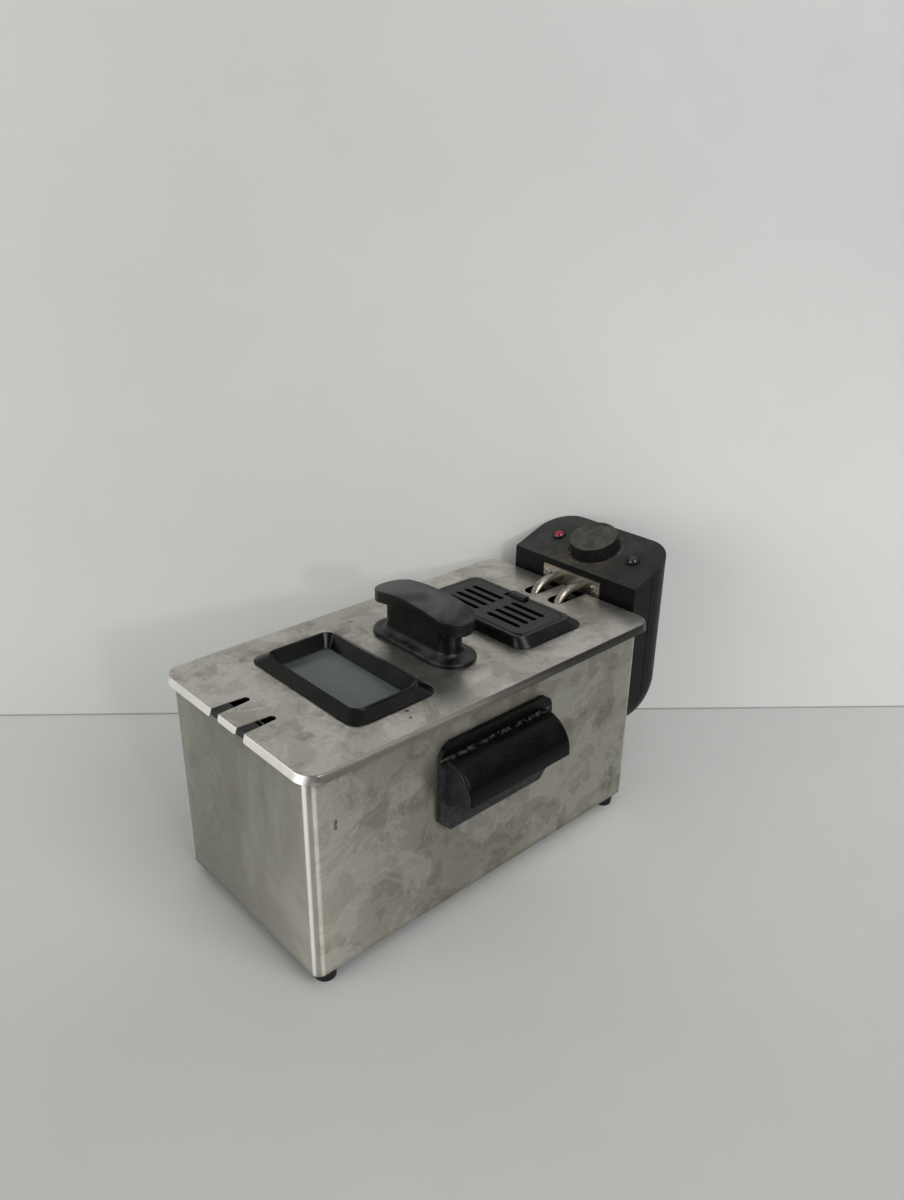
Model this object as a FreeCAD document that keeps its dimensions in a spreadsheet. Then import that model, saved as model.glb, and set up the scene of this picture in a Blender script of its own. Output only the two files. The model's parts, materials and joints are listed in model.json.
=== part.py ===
import FreeCAD, Part
import math
import os

import Sketcher

# Deep fryer: steel casing, lift-out oil pan, lift-off control unit with heating element,
# basket with detachable handle, lid with window, handle and filter cover.
# Frame: millimetres, +Z up, front towards -Y, origin on the floor at the middle of the box.

V = FreeCAD.Vector
doc = FreeCAD.newDocument("DeepFryer")

SIZES = {
    # casing
    "casing_width": 178, "casing_length": 342, "casing_y": -35.5, "casing_corner": 7,
    "casing_bottom": 11.7, "casing_top": 183, "sheet": 0.8,
    "tray_bottom": 13.2, "tray_height": 11, "tray_floor": 1.2, "tray_vent_pitch": 22,
    "tray_vent_half": 30, "tray_vent_radius": 2.5,
    # feet
    "foot_x": 78, "foot_reach": 157, "foot_radius": 9, "foot_tip": 8,
    "foot_recess": 4.4, "foot_recess_depth": 5, "foot_hole": 2.1,
    # side handles
    "grip_plate_length": 118, "grip_plate_bottom": 82, "grip_plate_top": 159,
    "grip_plate_thick": 4, "grip_plate_corner": 12, "grip_plate_chamfer": 10,
    "grip_length": 108, "grip_reach": 30.5, "grip_top": 147, "grip_lip": 117.5,
    "grip_wall": 3, "grip_round": 27, "grip_boss_y": 42, "grip_boss_z": 134, "grip_boss": 4.6,
    "grip_screw": 2, "grip_root": 106.5, "grip_edge": 2.6,
    # guide rails behind the casing
    "rail_bottom": 90, "rail_top": 165, "rail_web": 25, "rail_sheet": 1.5, "rail_lip": 15,
    "rail_depth": 9, "rail_foot": 42, "rivet_x": 35, "rivet_low": 105, "rivet_high": 150,
    "rivet_pin": 1.7, "rivet_head": 3.4,
    # oil pan
    "pan_width": 160, "pan_length": 323, "pan_corner": 22, "pan_draft": 4, "pan_bottom": 40,
    "pan_wall": 1, "pan_round": 14, "flange_width": 188, "flange_front": -208.4,
    "flange_rear": 135.9, "flange_corner": 13, "lip_bottom": 177.4, "lip_rear": 125,
    # lid
    "lid_width": 192, "lid_length": 355.3, "lid_y": -32.65, "lid_corner": 15, "lid_bend": 1,
    "lid_flare": 1.7, "lid_bottom": 178.8, "lid_top": 185,
    "front_slot_x": 17, "front_slot_half": 3.2, "front_slot_mouth": 5, "front_slot_end": -182.2,
    "tab_bottom": 179.8, "skirt_corner": 2.2,
    "rear_slot_x": 14, "rear_slot_radius": 8, "rear_slot_end": 114,
    # window
    "window_y": -112.5, "window_width": 135, "window_length": 78.5, "window_rise": 7,
    "window_corner": 11, "window_slope": 9.5, "window_crest_corner": 8, "window_open_width": 111.6,
    "window_open_length": 59.4, "window_open_corner": 6.5, "window_draft": 6, "window_depth": 10,
    "window_neck": 9, "glass_thick": 3, "window_screw_x": 46, "window_screw_y": 34,
    # lid handle
    "handle_y": -30.6, "handle_flange_length": 105, "handle_flange_width": 41.5,
    "handle_flange_thick": 3.6, "handle_stem_length": 80, "handle_stem_width": 22,
    "handle_grip_length": 103, "handle_grip_width": 35.6, "handle_grip_thick": 10.6,
    "handle_top": 227.4, "handle_arch": 215, "handle_screw_x": 26,
    # filter
    "filter_y": 56.5, "filter_width": 127, "filter_length": 77, "filter_corner": 12,
    "filter_rise": 9, "crown_y": 51.8, "crown_width": 116.4, "crown_length": 64.6, "crown_corner": 9,
    "cover_width": 107.4, "cover_length": 55.2, "cover_y": 51.4, "cover_corner": 8,
    "cover_thick": 3, "cover_gap": 0.6, "vent_near": 5.4, "vent_far": 42.6, "vent_width": 5,
    "vent_pitch": 9.75, "vent_y": 50.5, "latch_width": 25, "latch_front": 72.6, "thumb_width": 18,
    "thumb_front": 75.4, "thumb_rear": 83.2, "thumb_rise": 2.2, "filter_depth": 12,
    "filter_neck_y": 52.5, "filter_neck_width": 104, "filter_neck_length": 54, "filter_wall": 3,
    "pin_radius": 1, "seat_toe": 2,
    # control unit
    "box_width": 142.5, "box_front": 150, "box_rear": 212, "box_bottom": 56.5, "box_front_top": 203.3,
    "box_rear_top": 225.3, "box_corner": 30, "box_heel": 45, "box_wall": 2.5, "panel_thick": 3,
    "seam_y": 174, "seam_gap": 0.8, "seam_low": 92, "seam_toe": 164, "seam_toe_z": 68,
    "tongue_width": 48, "tongue_neck": 28, "tongue_low": 92, "tongue_high": 163,
    "plate_width": 66.6, "plate_low": 182, "plate_high": 197.5, "plate_thick": 1.5,
    "plate_screw_x": 27, "plate_screw_z": 189.8,
    "tube_radius": 4, "tube_x": 14, "tube_z": 191, "tube_leg": 113, "tube_floor": 58,
    "tube_spread": 52, "tube_reach": -170, "tube_bend": 20,
    "lead_x": 9.3, "lead_drop": 3.7, "lead_radius": 1, "probe_radius": 3.6,
    "knob_y": 181, "knob_radius": 23.2, "knob_top_radius": 22, "knob_height": 13.4,
    "dial_radius": 26, "dial_depth": 0.8, "spindle_radius": 3,
    "lamp_x": 44, "lamp_y": 180.3, "lamp_radius": 4.9, "bezel_radius": 6.6,
    "post_x": 42, "post_low": 112, "post_high": 180,
    "button_x": -38, "button_y": 157, "button_radius": 3,
    "gland_x": 33, "gland_y": 160, "gland_radius": 6,
    # basket
    "basket_width": 134, "basket_front": -181, "basket_rear": 81, "basket_bottom": 63,
    "basket_top": 166, "basket_draft": 4, "basket_wall": 1.2, "basket_corner": 16,
    "rim_radius": 2.3, "wire_radius": 2, "grip_bar_front": -40, "grip_bar_rear": 62,
    "grip_bar_z": 75, "grip_bar_width": 26, "grip_bar_height": 19, "grip_bar_wire": 6, "wire_reach": 108,
    "wire_bend": 12, "bracket_width": 48, "bracket_depth": 7, "bracket_height": 24,
    "hook_half": 26, "hook_reach": 17, "hook_bend": 6,
}

sheet = doc.addObject("Spreadsheet::Sheet", "Sizes")
for row, (alias, number) in enumerate(SIZES.items(), start=1):
    sheet.set(f"A{row}", alias)
    sheet.set(f"B{row}", str(number))
    sheet.setAlias(f"B{row}", alias)
doc.recompute()


class Size:
    """A length that carries its number and the sheet expression that gives it."""

    def __init__(self, text, value):
        self.text = text
        self.value = value

    def __add__(self, other):
        other = size(other)
        return Size(f"({self.text} + {other.text})", self.value + other.value)

    def __radd__(self, other):
        return size(other) + self

    def __sub__(self, other):
        other = size(other)
        return Size(f"({self.text} - {other.text})", self.value - other.value)

    def __rsub__(self, other):
        return size(other) - self

    def __mul__(self, factor):
        return Size(f"({self.text} * {factor})", self.value * factor)

    def __rmul__(self, factor):
        return self * factor

    def __truediv__(self, factor):
        return Size(f"({self.text} / {factor})", self.value / factor)

    def __neg__(self):
        return Size(f"(0 - {self.text})", -self.value)


def size(item):
    if isinstance(item, Size):
        return item
    return Size(f"({item})", float(item))


class Sheet:
    """Sheet cells by alias, as lengths."""

    def __getattr__(self, alias):
        return Size(f"Sizes.{alias}", float(SIZES[alias]))


d = Sheet()
nodes = {}


def bind(obj, prop, length):
    obj.setExpression(prop, size(length).text)


def new_body(label):
    body = doc.addObject("PartDesign::Body", label)
    body.Label = label
    return body


def origin_part(body, role):
    return next(item for item in body.Origin.OriginFeatures if item.Role == role)


def sketch(body, role="XY_Plane", offset=0):
    drawing = body.newObject("Sketcher::SketchObject", "Outline")
    drawing.AttachmentSupport = (origin_part(body, role), [""])
    drawing.MapMode = "FlatFace"
    bind(drawing, "AttachmentOffset.Base.z", offset)
    return drawing


def constrain(drawing, kind, *items):
    *refs, length = items
    index = drawing.addConstraint(Sketcher.Constraint(kind, *refs, size(length).value))
    drawing.setExpression(f"Constraints[{index}]", size(length).text)


def fix_point(drawing, geo, pos, x, y):
    constrain(drawing, "DistanceX", -1, 1, geo, pos, x)
    constrain(drawing, "DistanceY", -1, 1, geo, pos, y)


def circle(drawing, x, y, radius):
    centre = V(size(x).value, size(y).value, 0)
    geo = drawing.addGeometry(Part.Circle(centre, V(0, 0, 1), size(radius).value), False)
    fix_point(drawing, geo, 3, x, y)
    constrain(drawing, "Radius", geo, radius)


def polygon(drawing, corners):
    """Closed outline through the corners; a third entry rounds that corner."""
    points = [V(size(c[0]).value, size(c[1]).value, 0) for c in corners]
    rounds = [size(c[2]) if len(c) > 2 else None for c in corners]
    count = len(corners)
    enter, leave, centres, left_turn = [], [], [], []
    for i, point in enumerate(points):
        back = (points[i - 1] - point).normalize()
        ahead = (points[(i + 1) % count] - point).normalize()
        left_turn.append(back.cross(ahead).z < 0)
        if rounds[i] is None:
            enter.append(point)
            leave.append(point)
            centres.append(None)
            continue
        half = back.getAngle(ahead) / 2
        reach = rounds[i].value / math.tan(half)
        enter.append(point + back * reach)
        leave.append(point + ahead * reach)
        centres.append(point + (back + ahead).normalize() * (rounds[i].value / math.sin(half)))
    lines = []
    for i in range(count):
        segment = Part.LineSegment(leave[i], enter[(i + 1) % count])
        lines.append(drawing.addGeometry(segment, False))
    for i in range(count):
        before, after = lines[i - 1], lines[i]
        if rounds[i] is None:
            drawing.addConstraint(Sketcher.Constraint("Coincident", before, 2, after, 1))
            fix_point(drawing, after, 1, corners[i][0], corners[i][1])
            continue
        arm_in = enter[i] - centres[i]
        arm_out = leave[i] - centres[i]
        angle_in = math.atan2(arm_in.y, arm_in.x)
        angle_out = math.atan2(arm_out.y, arm_out.x)
        ring = Part.Circle(centres[i], V(0, 0, 1), rounds[i].value)
        if left_turn[i]:
            arc = drawing.addGeometry(Part.ArcOfCircle(ring, angle_in, angle_out), False)
            near, far = 1, 2
        else:
            arc = drawing.addGeometry(Part.ArcOfCircle(ring, angle_out, angle_in), False)
            near, far = 2, 1
        drawing.addConstraint(Sketcher.Constraint("Tangent", before, 2, arc, near))
        drawing.addConstraint(Sketcher.Constraint("Tangent", after, 1, arc, far))
        constrain(drawing, "Radius", arc, rounds[i])
        corner = drawing.addGeometry(Part.Point(points[i]), True)
        drawing.addConstraint(Sketcher.Constraint("PointOnObject", corner, 1, before))
        drawing.addConstraint(Sketcher.Constraint("PointOnObject", corner, 1, after))
        fix_point(drawing, corner, 1, corners[i][0], corners[i][1])


def rectangle(drawing, width, length, x=0, y=0, corner=None):
    half_w, half_l = size(width) / 2, size(length) / 2
    ends = [(-half_w, -half_l), (half_w, -half_l), (half_w, half_l), (-half_w, half_l)]
    tail = () if corner is None else (corner,)
    polygon(drawing, [(size(x) + a, size(y) + b) + tail for a, b in ends])


def slot(drawing, x1, y1, x2, y2, radius):
    """Round-ended slot between two centres."""
    first = V(size(x1).value, size(y1).value, 0)
    last = V(size(x2).value, size(y2).value, 0)
    along = (last - first).normalize()
    side = V(-along.y, along.x, 0) * size(radius).value
    turn = math.atan2(along.y, along.x)
    quarter = math.pi / 2
    ring_a = Part.Circle(first, V(0, 0, 1), size(radius).value)
    ring_b = Part.Circle(last, V(0, 0, 1), size(radius).value)
    arc_a = drawing.addGeometry(Part.ArcOfCircle(ring_a, turn + quarter, turn + 3 * quarter), False)
    arc_b = drawing.addGeometry(Part.ArcOfCircle(ring_b, turn - quarter, turn + quarter), False)
    low = drawing.addGeometry(Part.LineSegment(first - side, last - side), False)
    high = drawing.addGeometry(Part.LineSegment(last + side, first + side), False)
    for one, a, two, b in ((arc_a, 2, low, 1), (low, 2, arc_b, 1), (arc_b, 2, high, 1), (high, 2, arc_a, 1)):
        drawing.addConstraint(Sketcher.Constraint("Tangent", one, a, two, b))
    fix_point(drawing, arc_a, 3, x1, y1)
    fix_point(drawing, arc_b, 3, x2, y2)
    constrain(drawing, "Radius", arc_a, radius)
    constrain(drawing, "Radius", arc_b, radius)


def stadium(drawing, length, width, y):
    """Round-ended outline lying along X."""
    reach = size(length) / 2 - size(width) / 2
    slot(drawing, -reach, y, reach, y, size(width) / 2)


def extrude(kind, body, drawing, length, symmetric=False, flip=False):
    feature = body.newObject(f"PartDesign::{kind}", kind)
    feature.Profile = drawing
    feature.SideType = "Symmetric" if symmetric else "One side"
    feature.Reversed = flip
    bind(feature, "Length", length)
    doc.recompute()
    return feature


def pad(body, drawing, length, symmetric=False, flip=False):
    return extrude("Pad", body, drawing, length, symmetric, flip)


def pocket(body, drawing, length, symmetric=False, flip=False):
    return extrude("Pocket", body, drawing, length, symmetric, flip)


def loft(body, first, last, cutting=False):
    kind = "SubtractiveLoft" if cutting else "AdditiveLoft"
    feature = body.newObject(f"PartDesign::{kind}", "Loft")
    feature.Profile = first
    feature.Sections = [last]
    feature.Ruled = True
    doc.recompute()
    return feature


def revolve(body, corners):
    """Solid of revolution about the body's Z axis from (radius, height) corners."""
    drawing = sketch(body, "XZ_Plane")
    polygon(drawing, corners)
    feature = body.newObject("PartDesign::Revolution", "Turned")
    feature.Profile = drawing
    feature.ReferenceAxis = (origin_part(body, "Z_Axis"), [""])
    feature.Angle = 360
    doc.recompute()
    return feature


def soften(body, radius, wanted, kind="Fillet"):
    """Round or bevel the edges of the body that the test picks."""
    doc.recompute()
    base = body.Tip
    names = [f"Edge{i + 1}" for i, edge in enumerate(base.Shape.Edges) if wanted(edge)]
    feature = body.newObject(f"PartDesign::{kind}", kind)
    feature.Base = (base, names)
    bind(feature, "Radius" if kind == "Fillet" else "Size", radius)
    doc.recompute()
    return feature


def flat_at(height):
    """Edges lying at one level."""
    def test(edge):
        box = edge.BoundBox
        return abs(box.ZMin - height) < 1e-4 and abs(box.ZMax - height) < 1e-4
    return test


def level(edge, height):
    return flat_at(height)(edge)


def place(obj, x, y, z, rotation=None):
    if rotation is not None:
        obj.Placement = FreeCAD.Placement(V(0, 0, 0), rotation)
    for axis, length in zip("xyz", (x, y, z)):
        bind(obj, f"Placement.Base.{axis}", length)


def block(name, x0, x1, y0, y1, z0, z1):
    item = doc.addObject("Part::Box", name)
    bind(item, "Length", size(x1) - x0)
    bind(item, "Width", size(y1) - y0)
    bind(item, "Height", size(z1) - z0)
    place(item, x0, y0, z0)
    return item


TURN = {
    "+X": FreeCAD.Rotation(V(0, 1, 0), 90),
    "-X": FreeCAD.Rotation(V(0, 1, 0), -90),
    "+Y": FreeCAD.Rotation(V(1, 0, 0), -90),
    "-Y": FreeCAD.Rotation(V(1, 0, 0), 90),
    "+Z": None,
    "-Z": FreeCAD.Rotation(V(1, 0, 0), 180),
}


def rod(name, radius, length, x, y, z, way="+Z"):
    item = doc.addObject("Part::Cylinder", name)
    bind(item, "Radius", radius)
    bind(item, "Height", length)
    place(item, x, y, z, TURN[way] if isinstance(way, str) else way)
    return item


def fuse(name, *items):
    joined = doc.addObject("Part::MultiFuse", name)
    joined.Shapes = list(items)
    return joined


def cut(name, base, *tools):
    tool = tools[0] if len(tools) == 1 else fuse(f"{name}_tools", *tools)
    result = doc.addObject("Part::Cut", name)
    result.Base = base
    result.Tool = tool
    return result


def common(name, base, tool):
    result = doc.addObject("Part::Common", name)
    result.Base = base
    result.Tool = tool
    return result


def group(name, items):
    bundle = doc.addObject("Part::Compound", name)
    bundle.Links = items
    return bundle


def node(name, obj):
    obj.Label = name
    nodes[name] = obj


def wire_path(points, closed=False):
    """Line through the points, each (x, y, z) or (x, y, z, bend radius), with round bends."""
    corners = [V(*[size(item).value for item in p[:3]]) for p in points]
    bends = [size(p[3]).value if len(p) > 3 else 0 for p in points]
    edges, cursor, count = [], None, len(corners)
    first = None
    for i, corner in enumerate(corners):
        if bends[i] == 0:
            enter = leave = corner
            middle = None
        else:
            back = (corners[i - 1] - corner).normalize()
            ahead = (corners[(i + 1) % count] - corner).normalize()
            half = back.getAngle(ahead) / 2
            reach = bends[i] / math.tan(half)
            enter = corner + back * reach
            leave = corner + ahead * reach
            inward = (back + ahead).normalize()
            middle = corner + inward * (bends[i] / math.sin(half) - bends[i])
        if cursor is not None:
            edges.append(Part.LineSegment(cursor, enter).toShape())
        else:
            first = enter
        if middle is not None:
            edges.append(Part.Arc(enter, middle, leave).toShape())
        cursor = leave
    if closed:
        edges.append(Part.LineSegment(cursor, first).toShape())
    return Part.Wire(edges)


def tube(name, points, radius, closed=False):
    """Round bar swept along a bent path."""
    path = wire_path(points, closed)
    start = path.Edges[0]
    ring = Part.Circle(start.valueAt(start.FirstParameter), start.tangentAt(start.FirstParameter),
                       size(radius).value)
    item = doc.addObject("Part::Feature", name)
    item.Shape = path.makePipeShell([Part.Wire(ring.toShape())], True, True)
    return item


def screw(name, head, head_height, shank, length, x, y, z, way):
    """Pan-head screw with a cross recess; the seat of the head is at the given point."""
    body = new_body(name)
    revolve(body, [(0, -size(length)), (shank, -size(length)), (shank, 0), (head, 0),
                   (head, size(head_height) * 0.45), (size(head) * 0.6, head_height), (0, head_height)])
    recess = sketch(body, "XY_Plane", head_height)
    arm, half = size(head) * 0.55, size(head) * 0.11
    polygon(recess, [(-arm, -half), (-half, -half), (-half, -arm), (half, -arm), (half, -half), (arm, -half),
                     (arm, half), (half, half), (half, arm), (-half, arm), (-half, half), (-arm, half)])
    pocket(body, recess, size(head_height) * 0.6)
    place(body, x, y, z, TURN[way])
    return body


# Casing

def build_casing():
    body = new_body("outer_casing")
    outline = sketch(body, "XY_Plane", d.casing_bottom)
    rectangle(outline, d.casing_width, d.casing_length, 0, d.casing_y, d.casing_corner)
    pad(body, outline, d.casing_top - d.casing_bottom)
    inside = sketch(body, "XY_Plane", d.casing_top)
    rectangle(inside, d.casing_width - d.sheet * 2, d.casing_length - d.sheet * 2, 0, d.casing_y,
              d.casing_corner - d.sheet)
    pocket(body, inside, d.casing_top - d.casing_bottom + 1)
    holes = sketch(body, "YZ_Plane")
    for side in (-1, 1):
        circle(holes, d.casing_y + d.grip_boss_y * side, d.grip_boss_z, d.grip_screw + 0.2)
    pocket(body, holes, d.casing_width + 10, symmetric=True)
    rear = sketch(body, "XZ_Plane", -(d.casing_y + d.casing_length / 2 + 2))
    for side in (-1, 1):
        for height in (d.rivet_low, d.rivet_high):
            circle(rear, d.rivet_x * side, height, d.rivet_pin + 0.1)
    pocket(body, rear, 8, flip=True)
    node("outer_casing", body)

    tray = new_body("base_plate")
    width, length = d.casing_width - d.sheet * 2, d.casing_length - d.sheet * 2
    corner = d.casing_corner - d.sheet
    outline = sketch(tray, "XY_Plane", d.tray_bottom)
    rectangle(outline, width, length, 0, d.casing_y, corner)
    pad(tray, outline, d.tray_height)
    inside = sketch(tray, "XY_Plane", d.tray_bottom + d.tray_height)
    rectangle(inside, width - 2, length - 2, 0, d.casing_y, corner - 1)
    pocket(tray, inside, d.tray_height - d.tray_floor)
    vents = sketch(tray, "XY_Plane", d.tray_bottom + 5)
    for row in range(-4, 5):
        line = d.casing_y + d.tray_vent_pitch * row
        slot(vents, -d.tray_vent_half, line, d.tray_vent_half, line, d.tray_vent_radius)
    for side in (-1, 1):
        for end in (-1, 1):
            circle(vents, d.foot_x * side, d.casing_y + d.foot_reach * end, d.foot_hole)
    pocket(tray, vents, 8)
    node("base_plate", tray)

    screws = []
    for end, end_name in ((-1, "front"), (1, "rear")):
        for side, side_name in ((-1, "left"), (1, "right")):
            label = f"foot_{end_name}_{side_name}"
            foot = new_body(label)
            revolve(foot, [(d.foot_hole, d.foot_recess_depth), (d.foot_recess, d.foot_recess_depth),
                           (d.foot_recess, 0), (d.foot_tip, 0, 0.8), (d.foot_radius, d.tray_bottom),
                           (d.foot_hole, d.tray_bottom)])
            x, y = d.foot_x * side, d.casing_y + d.foot_reach * end
            place(foot, x, y, 0)
            node(label, foot)
            screws.append(screw(f"{label}_screw", 3.8, 2.4, 2, 13, x, y, d.foot_recess_depth, "-Z"))
    node("foot_screws", group("foot_screws", screws))


def build_side_handle(label, turned):
    wall = d.casing_width / 2
    body = new_body(label)
    plate = sketch(body, "YZ_Plane", wall)
    half = d.grip_plate_length / 2
    low, high, bevel = d.grip_plate_bottom, d.grip_plate_top, d.grip_plate_chamfer
    polygon(plate, [(-half, low + bevel), (bevel - half, low), (half - bevel, low), (half, low + bevel),
                    (half, high, d.grip_plate_corner), (-half, high, d.grip_plate_corner)])
    pad(body, plate, d.grip_plate_thick)
    face = wall + d.grip_plate_thick
    hood = sketch(body, "XZ_Plane")
    lip = wall + d.grip_reach
    polygon(hood, [(face - 1, d.grip_root), (lip, d.grip_lip), (lip, d.grip_top, d.grip_round),
                   (face - 1, d.grip_top)])
    pad(body, hood, d.grip_length, symmetric=True)
    hollow = sketch(body, "XZ_Plane")
    polygon(hollow, [(face, 100), (lip - d.grip_wall, 100),
                     (lip - d.grip_wall, d.grip_top - d.grip_wall, d.grip_round - d.grip_wall),
                     (face, d.grip_top - d.grip_wall)])
    pocket(body, hollow, d.grip_length - d.grip_wall * 2, symmetric=True)
    bosses = sketch(body, "YZ_Plane", face - 1)
    for side in (-1, 1):
        circle(bosses, d.grip_boss_y * side, d.grip_boss_z, d.grip_boss)
    pad(body, bosses, 18)
    pilots = sketch(body, "YZ_Plane", wall)
    for side in (-1, 1):
        circle(pilots, d.grip_boss_y * side, d.grip_boss_z, d.grip_screw + 0.1)
    pocket(body, pilots, 17, flip=True)
    half_hood = SIZES["grip_length"] / 2
    soften(body, d.grip_edge, lambda e: e.BoundBox.XMax > wall.value + 12 and e.BoundBox.YLength < 0.01
           and abs(abs(e.BoundBox.YMin) - half_hood) < 0.01 and e.BoundBox.ZMax > 118.5)
    place(body, 0, d.casing_y, 0, FreeCAD.Rotation(V(0, 0, 1), 180 if turned else 0))
    node(label, body)


def build_casing_fittings():
    build_side_handle("side_handle_right", False)
    build_side_handle("side_handle_left", True)
    screws = []
    inner = d.casing_width / 2 - d.sheet
    for side, way in ((-1, "+X"), (1, "-X")):
        for step in (-1, 1):
            screws.append(screw("side_handle_screw", 4, 2.6, d.grip_screw, 15, inner * side,
                                d.casing_y + d.grip_boss_y * step, d.grip_boss_z, way))
    node("side_handle_screws", group("side_handle_screws", screws))

    wall = d.casing_y + d.casing_length / 2
    rivets = []
    for side, name in ((-1, "left"), (1, "right")):
        rail = new_body(f"guide_rail_{name}")
        outline = sketch(rail, "XY_Plane", d.rail_bottom)
        web, foot, lip = d.rail_web * side, d.rail_foot * side, d.rail_lip * side
        skin = d.rail_sheet * side
        near, far = wall + d.rail_sheet, wall + d.rail_depth
        polygon(outline, [(web, wall), (foot, wall), (foot, near), (web + skin, near), (web + skin, far),
                          (lip, far), (lip, far - d.rail_sheet), (web, far - d.rail_sheet)])
        pad(rail, outline, d.rail_top - d.rail_bottom)
        holes = sketch(rail, "XZ_Plane", -(wall + 4))
        x = d.rivet_x * side
        for height in (d.rivet_low, d.rivet_high):
            circle(holes, x, height, d.rivet_pin + 0.1)
        pocket(rail, holes, 8, flip=True)
        node(f"guide_rail_{name}", rail)
        for height in (d.rivet_low, d.rivet_high):
            pin = rod("rivet_pin", d.rivet_pin, d.sheet + d.rail_sheet, x, wall - d.sheet, height, "+Y")
            head = rod("rivet_head", d.rivet_head, 1.4, x, near, height, "+Y")
            tail = rod("rivet_tail", d.rivet_head - 0.4, 1.2, x, wall - d.sheet, height, "-Y")
            rivets.append(fuse("rivet", pin, head, tail))
    node("guide_rail_rivets", group("guide_rail_rivets", rivets))


# Oil pan

def pan_blank(label, inset):
    """Tapered tub with a rounded floor, drawn in by the inset."""
    body = new_body(label)
    floor = d.pan_bottom + inset

    def ring(height, shrink):
        drawing = sketch(body, "XY_Plane", height)
        rectangle(drawing, d.pan_width - shrink * 2, d.pan_length - shrink * 2, 0, d.casing_y,
                  d.pan_corner - shrink)
        return drawing

    loft(body, ring(floor, d.pan_draft + inset), ring(d.casing_top + inset, size(inset)))
    soften(body, d.pan_round - inset, flat_at(floor.value))
    return body


def build_pan():
    tub = pan_blank("pan_outer", 0)
    core = pan_blank("pan_core", d.pan_wall)
    rim = new_body("pan_flange")
    flange = sketch(rim, "XY_Plane", d.casing_top)
    middle = (d.flange_front + d.flange_rear) / 2
    rectangle(flange, d.flange_width, d.flange_rear - d.flange_front, 0, middle, d.flange_corner)
    pad(rim, flange, d.pan_wall)
    lip = new_body("pan_lip")
    edge = sketch(lip, "XY_Plane", d.casing_top)
    length = d.flange_rear - d.flange_front
    rectangle(edge, d.flange_width, length, 0, middle, d.flange_corner)
    rectangle(edge, d.flange_width - 2, length - 2, 0, middle, d.flange_corner - 1)
    pad(lip, edge, d.casing_top - d.lip_bottom, flip=True)
    rear = sketch(lip, "XY_Plane", d.casing_top + 1)
    polygon(rear, [(-120, d.lip_rear), (120, d.lip_rear), (120, 160), (-120, 160)])
    pocket(lip, rear, 20)
    node("oil_pan", cut("oil_pan", fuse("pan_solid", tub, rim, lip), core))


# Lid

def build_lid():
    body = new_body("lid_shell")

    def ring(height, spread, inset=0):
        """Outline of the sheet at a height; the spread widens its front and sides, the inset all round."""
        drawing = sketch(body, "XY_Plane", height)
        rectangle(drawing, d.lid_width + (spread - inset) * 2, d.lid_length + spread - inset * 2, 0,
                  d.lid_y - spread / 2, d.lid_corner + spread - inset)
        return drawing

    bend = d.lid_bend
    shoulder, crest = d.lid_top - bend, d.lid_top - bend * 0.3
    loft(body, ring(d.lid_bottom, d.lid_flare), ring(shoulder, 0))
    loft(body, ring(shoulder, 0), ring(crest, 0, bend * 0.3))
    loft(body, ring(crest, 0, bend * 0.3), ring(d.lid_top, 0, bend))
    loft(body, ring(d.lid_bottom, d.lid_flare, d.sheet), ring(d.lid_top - d.sheet, 0, d.sheet), cutting=True)
    front = d.lid_y - d.lid_length / 2 - d.lid_flare
    skirt = front + 4
    openings = sketch(body, "XY_Plane", d.lid_top + 2)
    neck_gap = d.window_neck * 2 - 1
    rectangle(openings, d.window_width - neck_gap, d.window_length - neck_gap, 0, d.window_y, 6.5)
    rectangle(openings, d.filter_neck_width + 1, d.filter_neck_length + 1, 0, d.filter_neck_y, 6)
    for side in (-1, 1):
        circle(openings, d.handle_screw_x * side, d.handle_y, 2.6)
        slot(openings, d.rear_slot_x * side, d.rear_slot_end, d.rear_slot_x * side, 170, d.rear_slot_radius)
        for end in (-1, 1):
            circle(openings, d.window_screw_x * side, d.window_y + d.window_screw_y * end, 1.4)
        middle, half, mouth = d.front_slot_x * side, d.front_slot_half, d.front_slot_mouth
        polygon(openings, [(middle - mouth, front - 1), (middle + mouth, front - 1), (middle + mouth, skirt),
                           (middle + half, d.front_slot_end, 3), (middle - half, d.front_slot_end, 3),
                           (middle - mouth, skirt)])
    pocket(body, openings, 20)
    trim = sketch(body, "XZ_Plane", 1 - front)
    outer, inner = d.front_slot_x + d.front_slot_mouth, d.front_slot_x - d.front_slot_mouth
    low, top, corner = d.lid_bottom - 2, d.lid_top + 1, d.skirt_corner
    reach = outer + corner * 2
    polygon(trim, [(-reach, low), (reach, low), (reach, d.lid_bottom), (outer, d.lid_bottom, corner),
                   (outer, top), (inner, top), (inner, d.tab_bottom, corner), (-inner, d.tab_bottom, corner),
                   (-inner, top), (-outer, top), (-outer, d.lid_bottom, corner), (-reach, d.lid_bottom)])
    pocket(body, trim, 4)
    node("lid_shell", body)


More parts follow.
